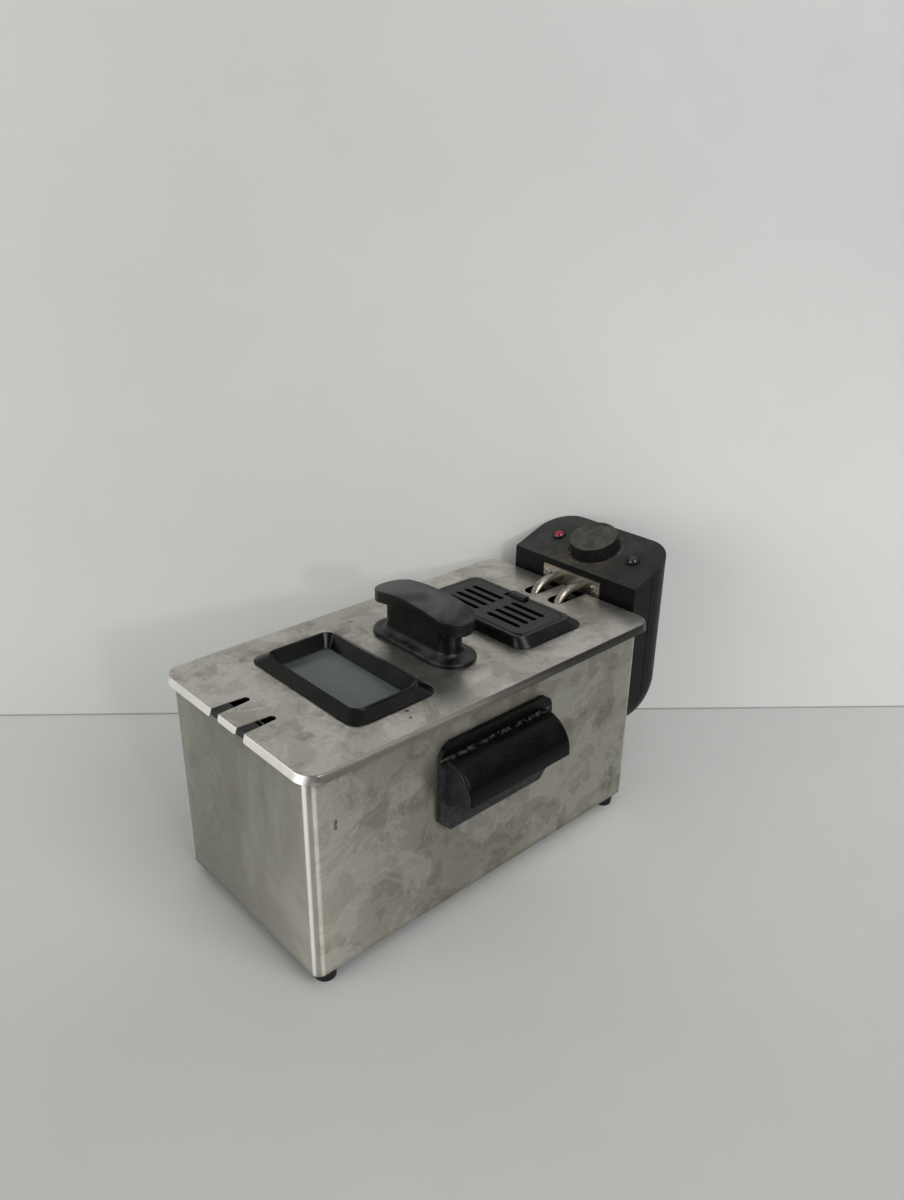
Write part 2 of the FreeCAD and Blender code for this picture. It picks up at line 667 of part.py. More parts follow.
def build_window():
    width, length, y = d.window_width, d.window_length, d.window_y
    rim = d.lid_top + d.window_rise
    body = new_body("window_frame")

    def ring(height, wide, long, corner):
        drawing = sketch(body, "XY_Plane", height)
        rectangle(drawing, wide, long, 0, y, corner)
        return drawing

    # outside: short foot, long slope and a bevelled crest
    crest_w, crest_l = width - d.window_slope * 2, length - d.window_slope * 2
    pad(body, ring(d.lid_top, width, length, d.window_corner), 0.8)
    loft(body, ring(d.lid_top + 0.8, width, length, d.window_corner),
         ring(rim - 0.8, crest_w + 1.6, crest_l + 1.6, d.window_crest_corner + 0.8))
    loft(body, ring(rim - 0.8, crest_w + 1.6, crest_l + 1.6, d.window_crest_corner + 0.8),
         ring(rim, crest_w, crest_l, d.window_crest_corner))
    neck = sketch(body, "XY_Plane", d.lid_top)
    inner_w, inner_l = width - d.window_neck * 2, length - d.window_neck * 2
    rectangle(neck, inner_w, inner_l, 0, y, 6)
    floor = rim - d.window_depth
    pad(body, neck, d.lid_top - floor, flip=True)
    # inside: bevelled mouth and walls that close in towards the pane
    opening_w, opening_l, corner = d.window_open_width, d.window_open_length, d.window_open_corner
    loft(body, ring(rim, opening_w + 1.2, opening_l + 1.2, corner + 0.6),
         ring(rim - 0.8, opening_w, opening_l, corner), cutting=True)
    loft(body, ring(rim - 0.8, opening_w, opening_l, corner),
         ring(floor, opening_w - d.window_draft * 2, opening_l - d.window_draft * 2, 3.5), cutting=True)
    pilots = sketch(body, "XY_Plane", d.lid_top)
    for side in (-1, 1):
        for end in (-1, 1):
            circle(pilots, d.window_screw_x * side, y + d.window_screw_y * end, 1.3)
    pocket(body, pilots, 2.8, flip=True)
    node("window_frame", body)

    gasket = new_body("window_gasket")
    seal = sketch(gasket, "XY_Plane", floor - 1)
    rectangle(seal, inner_w - 2, inner_l - 2, 0, y, 5)
    rectangle(seal, inner_w - 12, inner_l - 8, 0, y, 3)
    pad(gasket, seal, 1)
    node("window_gasket", gasket)

    glass = new_body("window_glass")
    low = floor - 1 - d.glass_thick
    pane = sketch(glass, "XY_Plane", low)
    rectangle(pane, inner_w - 2, inner_l - 2, 0, y, 5)
    pad(glass, pane, d.glass_thick)
    node("window_glass", glass)

    under = d.lid_top - d.sheet
    retainer = new_body("window_retainer")
    block_out = sketch(retainer, "XY_Plane", low - 2)
    rectangle(block_out, width - 2, length - 1, 0, y, 9)
    pad(retainer, block_out, under - low + 2)
    hole = sketch(retainer, "XY_Plane", low)
    rectangle(hole, inner_w + 0.6, inner_l + 0.6, 0, y, 6.3)
    pocket(retainer, hole, under - low + 1, flip=True)
    sight = sketch(retainer, "XY_Plane", under + 1)
    rectangle(sight, inner_w - 14, inner_l - 10, 0, y, 4)
    for side in (-1, 1):
        for end in (-1, 1):
            circle(sight, d.window_screw_x * side, y + d.window_screw_y * end, 1.4)
    pocket(retainer, sight, 20)
    node("window_retainer", retainer)
    screws = []
    screw_length = d.lid_top + 2.4 - low + 2
    for side in (-1, 1):
        for end in (-1, 1):
            screws.append(screw("window_screw", 2.6, 1.6, 1.2, screw_length, d.window_screw_x * side,
                                y + d.window_screw_y * end, low - 2, "-Z"))
    node("window_screws", group("window_screws", screws))


def arched_slab():
    """Grip of the lid handle: round-ended in plan, bent to an arc along its length."""
    body = new_body("handle_grip")
    arc = d.handle_arch
    centre = d.handle_top - arc
    bow = sketch(body, "XZ_Plane", -d.handle_y)
    circle(bow, 0, centre, arc)
    circle(bow, 0, centre, arc - d.handle_grip_thick)
    pad(body, bow, d.handle_grip_width, symmetric=True)
    plan = new_body("handle_plan")
    outline = sketch(plan, "XY_Plane", d.lid_top)
    stadium(outline, d.handle_grip_length, d.handle_grip_width, d.handle_y)
    pad(plan, outline, 60)
    return common("grip_slab", body, plan)


def build_lid_handle():
    foot = new_body("handle_foot")
    flange = sketch(foot, "XY_Plane", d.lid_top)
    stadium(flange, d.handle_flange_length, d.handle_flange_width, d.handle_y)
    pad(foot, flange, d.handle_flange_thick)
    root = SIZES["lid_top"] + SIZES["handle_flange_thick"]
    soften(foot, 1.8, flat_at(root))
    stem = sketch(foot, "XY_Plane", d.lid_top)
    stadium(stem, d.handle_stem_length, d.handle_stem_width, d.handle_y)
    pad(foot, stem, d.handle_top - d.handle_grip_thick / 2 - 2 - d.lid_top)
    soften(foot, 5.5, lambda e: level(e, root) and e.BoundBox.YLength < SIZES["handle_stem_width"] + 1)
    pilots = sketch(foot, "XY_Plane", d.lid_top)
    for side in (-1, 1):
        circle(pilots, d.handle_screw_x * side, d.handle_y, 2.1)
    pocket(foot, pilots, 16, flip=True)
    slab = arched_slab()
    doc.recompute()
    whole = fuse("handle_blank", foot, slab)
    doc.recompute()
    rounded = doc.addObject("Part::Fillet", "lid_handle")
    rounded.Base = whole
    rim = [i + 1 for i, edge in enumerate(whole.Shape.Edges) if on_grip_rim(edge)]
    rounded.Edges = [(i, 1.1, 1.1) for i in rim]
    node("lid_handle", rounded)
    screws = [screw("lid_handle_screw", 4.6, 2.6, 2, 14, d.handle_screw_x * side, d.handle_y,
                    d.lid_top - d.sheet, "-Z") for side in (-1, 1)]
    node("lid_handle_screws", group("lid_handle_screws", screws))


def on_grip_rim(edge):
    """Edges round the arched top and bottom of the grip."""
    half = SIZES["handle_grip_width"] / 2
    centre = SIZES["handle_top"] - SIZES["handle_arch"]
    inner = SIZES["handle_arch"] - SIZES["handle_grip_thick"]
    middle = edge.valueAt((edge.FirstParameter + edge.LastParameter) / 2)
    radius = math.hypot(middle.x, middle.z - centre)
    on_arc = min(abs(radius - SIZES["handle_arch"]), abs(radius - inner)) < 0.01
    if not on_arc:
        return False
    if edge.BoundBox.XLength > 20:
        return abs(abs(middle.y - SIZES["handle_y"]) - half) < 0.01
    return abs(middle.x) > SIZES["handle_grip_length"] / 2 - half + 0.5


def build_filter():
    y, crown = d.filter_neck_y, d.lid_top + d.filter_rise
    body = new_body("filter_housing")

    def base_ring(height):
        drawing = sketch(body, "XY_Plane", height)
        rectangle(drawing, d.filter_width, d.filter_length, 0, d.filter_y, d.filter_corner)
        return drawing

    def crown_ring(height, spread):
        drawing = sketch(body, "XY_Plane", height)
        rectangle(drawing, d.crown_width + spread * 2, d.crown_length + spread * 2, 0, d.crown_y,
                  d.crown_corner + spread)
        return drawing

    pad(body, base_ring(d.lid_top), 0.8)
    shoulder = crown - 1.3
    loft(body, base_ring(d.lid_top + 0.8), crown_ring(shoulder, 0.4))
    loft(body, crown_ring(shoulder, 0.4), crown_ring(crown, -0.6))
    neck = sketch(body, "XY_Plane", d.lid_top)
    rectangle(neck, d.filter_neck_width, d.filter_neck_length, 0, y, 5.5)
    pad(body, neck, d.filter_depth, flip=True)
    seat = sketch(body, "XY_Plane", crown)
    seat_half, seat_corner = d.cover_width / 2 + d.cover_gap, d.cover_corner + d.cover_gap
    seat_front = d.cover_y - d.cover_length / 2 - d.cover_gap
    seat_rear = d.cover_y + d.cover_length / 2 + d.cover_gap
    polygon(seat, [(-seat_half, seat_front, d.seat_toe), (seat_half, seat_front, d.seat_toe),
                   (seat_half, seat_rear, seat_corner), (-seat_half, seat_rear, seat_corner)])
    pocket(body, seat, d.cover_thick + d.cover_gap)
    shaft = sketch(body, "XY_Plane", crown)
    shaft_w, shaft_l = d.filter_neck_width - d.filter_wall * 2, d.filter_neck_length - d.filter_wall * 2
    rectangle(shaft, shaft_w, shaft_l, 0, y, 4)
    pocket(body, shaft, 40)
    pivot_y = d.cover_y - d.cover_length / 2 + d.cover_thick / 2
    pivot_z = crown - d.cover_thick / 2
    bore = sketch(body, "YZ_Plane")
    circle(bore, pivot_y, pivot_z, d.pin_radius + 0.06)
    pocket(body, bore, d.cover_width + 3.4, symmetric=True)
    node("filter_housing", body)

    tray = new_body("filter_tray")
    plate = sketch(tray, "XY_Plane", d.lid_top - d.filter_depth - 1.2)
    rectangle(plate, d.filter_neck_width, d.filter_neck_length, 0, y, 5.5)
    for side in (-1, 1):
        for row in range(-2, 3):
            slot(plate, 8 * side, y + 8 * row, 42 * side, y + 8 * row, 2)
    pad(tray, plate, 1.2)
    node("filter_tray", tray)

    cushion = new_body("grease_filter")
    plan = sketch(cushion, "XY_Plane", d.lid_top - d.filter_depth)
    rectangle(plan, shaft_w - 0.6, shaft_l - 0.6, 0, y, 3.7)
    pad(cushion, plan, 14)
    node("grease_filter", cushion)

    cover = new_body("filter_cover")
    plan = sketch(cover, "XY_Plane", crown - d.cover_thick)
    half_w, front, rear = d.cover_width / 2, pivot_y, d.cover_y + d.cover_length / 2
    lug = d.cover_corner - d.cover_thick / 2
    polygon(plan, [(-half_w, front, lug), (half_w, front, lug), (half_w, rear, d.cover_corner),
                   (-half_w, rear, d.cover_corner)])
    inset = d.vent_width / 2
    for side in (-1, 1):
        for row in range(4):
            line = d.vent_y + d.vent_pitch * (row - 1.5)
            slot(plan, (d.vent_near + inset) * side, line, (d.vent_far - inset) * side, line, inset)
    pad(cover, plan, d.cover_thick)
    edge = sketch(cover, "YZ_Plane")
    circle(edge, pivot_y, pivot_z, d.cover_thick / 2)
    pad(cover, edge, d.cover_width - lug * 2, symmetric=True)
    pin = sketch(cover, "YZ_Plane")
    circle(pin, pivot_y, pivot_z, d.pin_radius)
    pad(cover, pin, d.cover_width + 2, symmetric=True)
    latch = sketch(cover, "XY_Plane", crown)
    half = d.latch_width / 2
    polygon(latch, [(-half, d.latch_front), (half, d.latch_front), (half, rear + 2), (-half, rear + 2)])
    pocket(cover, latch, 1.8)
    thumb = sketch(cover, "YZ_Plane")
    sole, peak = crown + 0.4, crown + d.thumb_rise
    polygon(thumb, [(d.thumb_front, crown - 2.4), (rear - 0.2, crown - 2.4), (rear - 0.2, sole),
                    (d.thumb_rear, sole), (d.thumb_rear, peak - 0.6), (d.thumb_rear - 2, peak),
                    (d.thumb_front + 1.5, peak)])
    pad(cover, thumb, d.thumb_width, symmetric=True)
    node("filter_cover", cover)


# Control unit

SLOPE = math.atan2(SIZES["box_rear_top"] - SIZES["box_front_top"], SIZES["box_rear"] - SIZES["box_front"])
TILT = FreeCAD.Rotation(V(1, 0, 0), math.degrees(SLOPE))
GRADE = (d.box_rear_top - d.box_front_top).text + " / " + (d.box_rear - d.box_front).text
DROP = 1 / math.cos(SLOPE)


def panel_height(y):
    """Height of the sloping panel above a point of the plan."""
    rise = SIZES["box_rear_top"] - SIZES["box_front_top"]
    run = SIZES["box_rear"] - SIZES["box_front"]
    ahead = y - d.box_front
    return d.box_front_top + Size(f"({ahead.text} * ({GRADE}))", ahead.value * rise / run)


def panel_point(y, lift):
    """Point (y, z) on the panel's normal over a place on the panel."""
    return y - size(lift) * math.sin(SLOPE), panel_height(y) + size(lift) * math.cos(SLOPE)


def panel_rod(name, radius, length, x, y, lift):
    base_y, base_z = panel_point(y, lift)
    return rod(name, radius, length, x, base_y, base_z, TILT)


def box_blank(label, inset):
    """Control box outline, drawn in by the inset."""
    body = new_body(label)
    profile = sketch(body, "YZ_Plane")
    front, rear = d.box_front + inset, d.box_rear - inset
    low = d.box_bottom + inset
    roof_drop = size(inset) * DROP
    polygon(profile, [(front, low), (rear, low, d.box_heel - inset), (rear, panel_height(rear) - roof_drop),
                      (front, panel_height(front) - roof_drop)])
    pad(body, profile, d.box_width - size(inset) * 2, symmetric=True)
    soften(body, d.box_corner - inset, lambda e: e.BoundBox.XLength < 0.01
           and e.BoundBox.YMax > rear.value - 0.01 and e.BoundBox.ZMin < panel_height(rear).value - 25
           and e.BoundBox.ZMax > low.value + 1)
    return body


def front_zone(label, ahead):
    """Room in front of the seam between the two halves of the control box."""
    body = new_body(label)
    drawing = sketch(body, "YZ_Plane")
    polygon(drawing, [(120, 30), (d.seam_toe - 8 + ahead, 30), (d.seam_toe + ahead, d.seam_toe_z, 20),
                      (d.seam_y + ahead, d.seam_low, 20), (d.seam_y + ahead, 270), (120, 270)])
    pad(body, drawing, 300, symmetric=True)
    return body


def build_control_box():
    hull = box_blank("box_outer", 0)
    core = box_blank("box_core", d.box_wall)
    doc.recompute()
    slab = doc.addObject("Part::Box", "panel_slab")
    slab.Length, slab.Width, slab.Height = 300, 140, 40
    y, z = panel_point(d.box_front, -d.panel_thick)
    slab.Placement = FreeCAD.Placement(V(0, 0, 0), TILT)
    place(slab, -150, y - 40 * math.cos(SLOPE), z - 40 * math.sin(SLOPE))

    # top panel with dial recess, knob bush hole and lamp holes
    top = common("panel_blank", hull, slab)
    dial = panel_rod("dial_recess", d.dial_radius, 10, 0, d.knob_y, -d.dial_depth)
    bush = panel_rod("bush_hole", 5.3, 20, 0, d.knob_y, -10)
    lamps = [panel_rod("lamp_hole", d.lamp_radius + 0.9, 20, d.lamp_x * side, d.lamp_y, -10)
             for side in (-1, 1)]
    node("control_panel", cut("control_panel", top, dial, bush, *lamps))

    skin = cut("box_skin", hull, core, slab)
    zone = front_zone("seam_front", 0)
    zone_wide = front_zone("seam_rear", d.seam_gap)
    front = common("front_half", skin, zone)
    rear = cut("rear_half", skin, zone_wide)

    # front shell: guide tongue, screw posts, holes for tubes, plate screws, gland and button
    wall = d.casing_y + d.casing_length / 2
    tongue = fuse("tongue",
                  block("tongue_neck", -d.tongue_neck / 2, d.tongue_neck / 2, wall + 6, d.box_front + 1,
                        d.tongue_low, d.tongue_high),
                  block("tongue_flange", -d.tongue_width / 2, d.tongue_width / 2, wall + 1, wall + 6.8,
                        d.tongue_low, d.tongue_high))
    posts, bores, sockets, recesses, screws = [], [], [], [], []
    for side in (-1, 1):
        for height in (d.post_low, d.post_high):
            x = d.post_x * side
            posts.append(rod("front_post", 5, 47, x, d.box_front + 1, height, "+Y"))
            bores.append(rod("post_bore", 2.1, 30, x, d.box_front + 20, height, "+Y"))
            sockets.append(rod("rear_socket", 6, 12, x, d.box_rear - 13, height, "+Y"))
            recesses.append(rod("socket_recess", 4.2, 10, x, d.box_rear - 7, height, "+Y"))
            recesses.append(rod("socket_bore", 2.2, 20, x, d.box_rear - 20, height, "+Y"))
            screws.append(screw("cover_screw", 3.7, 2.4, 2, 26, x, d.box_rear - 7, height, "+Y"))
    entry, under = d.box_front - 4, d.box_bottom - 4
    tubes = [rod("tube_hole", d.tube_radius + 1, 12, d.tube_x * side, entry, d.tube_z, "+Y")
             for side in (-1, 1)]
    plate_pilots = [rod("plate_pilot", 1.9, 12, d.plate_screw_x * side, entry, d.plate_screw_z, "+Y")
                    for side in (-1, 1)]
    bulb_hole = rod("bulb_hole", d.lead_radius + 0.5, 12, d.lead_x, entry, d.tube_z - d.lead_drop, "+Y")
    gland_hole = rod("gland_hole", d.gland_radius, 12, d.gland_x, d.gland_y, under)
    button_hole = rod("button_hole", d.button_radius + 0.08, 12, d.button_x, d.button_y, under)
    front_full = fuse("front_full", front, tongue, *posts)
    node("control_front_shell", cut("control_front_shell", front_full, *bores, *tubes, *plate_pilots,
                                    bulb_hole, gland_hole, button_hole))
    rear_full = fuse("rear_full", rear, *sockets)
    node("control_rear_cover", cut("control_rear_cover", rear_full, gland_hole, *recesses))
    node("cover_screws", group("cover_screws", screws))


def build_element():
    plate = new_body("element_plate")
    outline = sketch(plate, "XZ_Plane", -d.box_front)
    middle = (d.plate_low + d.plate_high) / 2
    rectangle(outline, d.plate_width, d.plate_high - d.plate_low, 0, middle, 1.5)
    for side in (-1, 1):
        circle(outline, d.tube_x * side, d.tube_z, d.tube_radius + 0.05)
        circle(outline, d.plate_screw_x * side, d.plate_screw_z, 2)
    circle(outline, d.lead_x, d.tube_z - d.lead_drop, d.lead_radius + 0.1)
    pad(plate, outline, d.plate_thick)
    node("element_plate", plate)
    face = d.box_front - d.plate_thick
    screws = [screw("element_plate_screw", 3.9, 2.3, 1.8, 9, d.plate_screw_x * side, face,
                    d.plate_screw_z, "-Y") for side in (-1, 1)]
    node("element_plate_screws", group("element_plate_screws", screws))

    inside = d.box_front + 16
    right = [(d.tube_x, inside, d.tube_z), (d.tube_x, d.tube_leg, d.tube_z, d.tube_bend),
             (d.tube_x, d.tube_leg, d.tube_floor, 18), (d.tube_x, 84, d.tube_floor, 14),
             (d.tube_spread, 58, d.tube_floor, 16), (d.tube_spread, d.tube_reach, d.tube_floor, 26)]
    left = [(-size(p[0]),) + p[1:] for p in reversed(right)]
    node("heating_element", tube("heating_element", right + left, d.tube_radius))

    bar = block("element_bar", -d.tube_spread - 6, d.tube_spread + 6, -40, -28,
                d.tube_floor - 5.3, d.tube_floor - 4.05)
    node("element_support", bar)

    # sensor lead runs beside the right tube, drops behind it and ends in the probe
    x, behind, high = d.lead_x, d.tube_leg + d.lead_drop, d.tube_z - d.lead_drop
    low = d.tube_floor + 0.4
    lead = tube("bulb_lead", [(x, d.box_front + 12, high), (x, behind, high, d.tube_bend - d.lead_drop),
                              (x, behind, 150, 10), (0, behind, 135, 10), (0, behind, low, 14), (0, 60, low)],
                d.lead_radius)
    probe = rod("bulb_probe", d.probe_radius, 110, 0, 62, low, "-Y")
    node("sensor_bulb", fuse("sensor_bulb", lead, probe))


def build_controls():
    # knob: turned blank with a pointer groove
    knob = new_body("thermostat_knob")
    r, top, height = d.knob_radius, d.knob_top_radius, d.knob_height
    revolve(knob, [(0, 0), (r, 0, 0.6), (top, height, 1), (top - 2.4, height), (top - 3.2, height - 0.5),
                   (0, height - 0.3)])
    mark = sketch(knob, "XY_Plane", height + 1)
    polygon(mark, [(-0.8, top * 0.45), (0.8, top * 0.45), (0.8, top * 0.88), (-0.8, top * 0.88)])
    pocket(knob, mark, 1.9)
    bore = sketch(knob, "XY_Plane", 0)
    circle(bore, 0, 0, d.spindle_radius + 0.05)
    pocket(knob, bore, 10, flip=True)
    y, z = panel_point(d.knob_y, 0.4 - d.dial_depth)
    place(knob, 0, y, z, TILT)
    node("thermostat_knob", knob)
    node("thermostat_spindle", panel_rod("thermostat_spindle", d.spindle_radius, 30, 0, d.knob_y, -21))

    drum = panel_rod("thermostat_drum", 16, 22, 0, d.knob_y, -26)
    bush = panel_rod("thermostat_bush", 5, 6, 0, d.knob_y, -6.9)
    bore = panel_rod("thermostat_bore", d.spindle_radius + 0.06, 40, 0, d.knob_y, -22)
    node("thermostat_body", cut("thermostat_body", fuse("thermostat_blank", drum, bush), bore))

    bezels, bodies = [], []
    for side, label in ((-1, "red_lamp_lens"), (1, "clear_lamp_lens")):
        x = d.lamp_x * side
        flange = panel_rod("bezel_flange", d.bezel_radius, 1.6, x, d.lamp_y, 0)
        collar = panel_rod("bezel_collar", d.lamp_radius + 0.85, 7, x, d.lamp_y, -7)
        hole = panel_rod("bezel_hole", d.lamp_radius + 0.05, 20, x, d.lamp_y, -9)
        bezels.append(cut("lamp_bezel", fuse("bezel_blank", flange, collar), hole))
        lens = new_body(label)
        radius = d.lamp_radius
        revolve(lens, [(0, 0), (radius, 0), (radius, 7.6, 0.5), (radius * 0.7, 9.2, 0.8), (0, 9.6)])
        y, z = panel_point(d.lamp_y, -6)
        place(lens, x, y, z, TILT)
        node(label, lens)
        bodies.append(panel_rod("lamp_body", 3.2, 16, x, d.lamp_y, -22.2))
    node("lamp_bezels", group("lamp_bezels", bezels))
    node("lamp_bodies", group("lamp_bodies", bodies))

    button = new_body("reset_button")
    r = d.button_radius
    revolve(button, [(0, 0), (r, 0, 0.5), (r, 6), (r + 1.2, 6), (r + 1.2, 8), (0, 8)])
    place(button, d.button_x, d.button_y, d.box_bottom - 2.2)
    node("reset_button", button)
    wall, low = d.box_front + d.box_wall, d.box_bottom + 10
    can = rod("cutout_can", 8, 18, d.button_x, d.button_y + 5, low)
    bracket = block("cutout_bracket", d.button_x - 9, d.button_x + 9, wall, wall + 3.5, low, low + 18)
    node("thermal_cutout", fuse("thermal_cutout", can, bracket))
    gland = new_body("cord_gland")
    r = d.gland_radius
    revolve(gland, [(3.6, -9), (r - 1.2, -9, 0.6), (r + 2, -2.5), (r + 2, 0), (r - 0.1, 0), (r - 0.1, 2.5),
                    (r + 1.5, 2.5), (r + 1.5, 5), (3.6, 5)])
    place(gland, d.gland_x, d.gland_y, d.box_bottom)
    node("cord_gland", gland)
    node("terminal_block", block("terminal_block", 12, 40, wall, wall + 15.5, 80, 98))
    node("interlock_switch", block("interlock_switch", -26, -4, wall, wall + 9.5, 130, 146))


# Basket

def build_basket():
    body = new_body("basket_mesh")
    length, middle = d.basket_rear - d.basket_front, (d.basket_rear + d.basket_front) / 2

    def ring(height, shrink):
        drawing = sketch(body, "XY_Plane", height)
        rectangle(drawing, d.basket_width - shrink * 2, length - shrink * 2, 0, middle,
                  d.basket_corner - shrink)
        return drawing

    loft(body, ring(d.basket_bottom, d.basket_draft), ring(d.basket_top, size(0)))
    loft(body, ring(d.basket_bottom + d.basket_wall, d.basket_draft + d.basket_wall),
         ring(d.basket_top, d.basket_wall), cutting=True)
    node("basket_mesh", body)

    half = d.basket_width / 2 - 0.6
    z, bend = d.basket_top + d.rim_radius, d.basket_corner
    front, rear = d.basket_front + 0.6, d.basket_rear - 0.6
    node("basket_rim_wire", tube("basket_rim_wire", [(half, front, z, bend), (half, rear, z, bend),
                                                     (-half, rear, z, bend), (-half, front, z, bend)],
                                 d.rim_radius, closed=True))
    bracket = new_body("basket_handle_bracket")
    outline = sketch(bracket, "XY_Plane", d.basket_top - d.bracket_height)
    line = d.basket_front - d.bracket_depth / 2
    rectangle(outline, d.bracket_width, d.bracket_depth, 0, line, 2)
    for side in (-1, 1):
        circle(outline, d.front_slot_x * side, line, d.wire_radius + 0.2)
    pad(bracket, outline, d.bracket_height)
    node("basket_handle_bracket", bracket)

    wide, start, reach = d.hook_half, rear + 2.4, rear + d.hook_reach
    node("basket_hook", tube("basket_hook", [(-wide, start, z), (-wide, reach, z, d.hook_bend),
                                             (wide, reach, z, d.hook_bend), (wide, start, z)],
                             d.wire_radius))

    z, grip, wires = d.grip_bar_z, d.grip_bar_front, []
    for side in (-1, 1):
        spread, core = d.front_slot_x * side, d.grip_bar_wire * side
        route = [(spread, grip - d.wire_reach, z), (spread, grip - 20, z, d.wire_bend),
                 (core, grip, z, d.wire_bend), (core, grip + 60, z)]
        wires.append(tube("handle_wire", route, d.wire_radius))
    node("basket_handle_wires", group("basket_handle_wires", wires))
    handle = new_body("basket_handle_grip")
    section = sketch(handle, "XZ_Plane", -d.grip_bar_rear)
    rectangle(section, d.grip_bar_width, d.grip_bar_height, 0, z, 7)
    pad(handle, section, d.grip_bar_rear - d.grip_bar_front - 8)
    soften(handle, 3, lambda e: e.BoundBox.YLength < 0.01)
    bores = sketch(handle, "XZ_Plane", -d.grip_bar_front)
    for side in (-1, 1):
        circle(bores, d.grip_bar_wire * side, z, d.wire_radius + 0.1)
    pocket(handle, bores, 62)
    node("basket_handle_grip", handle)


build_casing()
build_casing_fittings()
build_pan()
build_lid()
build_window()
build_lid_handle()
build_filter()
build_control_box()
build_element()
build_controls()
build_basket()

doc.recompute()

broken = [obj.Name for obj in doc.Objects if "Invalid" in obj.State or "Error" in obj.State]
if broken:
    raise RuntimeError(f"did not build: {broken}")
os.makedirs("parts", exist_ok=True)
for name, obj in nodes.items():
    if obj.Shape.isNull() or not obj.Shape.isValid() or obj.Shape.Volume <= 0:
        raise RuntimeError(f"{name} has no valid shape")
    obj.Shape.exportStep(os.path.join("parts", f"{name}.step"))
    box = obj.Shape.BoundBox
    print(f"{name}: {len(obj.Shape.Solids)} solids, volume {obj.Shape.Volume:.0f}, "
          f"x {box.XMin:.1f} {box.XMax:.1f} y {box.YMin:.1f} {box.YMax:.1f} z {box.ZMin:.1f} {box.ZMax:.1f}")
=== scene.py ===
import json
import math

import bmesh
import bpy
from mathutils import Matrix, Vector


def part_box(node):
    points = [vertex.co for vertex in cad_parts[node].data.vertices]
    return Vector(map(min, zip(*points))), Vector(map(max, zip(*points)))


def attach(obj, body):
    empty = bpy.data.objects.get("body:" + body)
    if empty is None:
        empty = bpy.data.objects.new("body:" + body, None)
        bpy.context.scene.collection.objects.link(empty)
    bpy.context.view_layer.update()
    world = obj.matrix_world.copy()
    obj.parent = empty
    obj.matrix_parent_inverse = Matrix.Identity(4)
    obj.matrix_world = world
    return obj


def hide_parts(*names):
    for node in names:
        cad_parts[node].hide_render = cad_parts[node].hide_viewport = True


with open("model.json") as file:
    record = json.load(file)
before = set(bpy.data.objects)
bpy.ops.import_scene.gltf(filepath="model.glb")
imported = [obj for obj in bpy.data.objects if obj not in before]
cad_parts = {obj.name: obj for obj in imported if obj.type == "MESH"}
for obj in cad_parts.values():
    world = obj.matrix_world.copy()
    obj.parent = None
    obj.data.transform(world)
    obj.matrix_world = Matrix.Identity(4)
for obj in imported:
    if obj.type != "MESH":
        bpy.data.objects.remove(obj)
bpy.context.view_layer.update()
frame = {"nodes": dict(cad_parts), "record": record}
nodes = frame["nodes"]
scene = bpy.context.scene
scene.view_settings.view_transform = "Standard"
MM = 0.001


# Node helpers

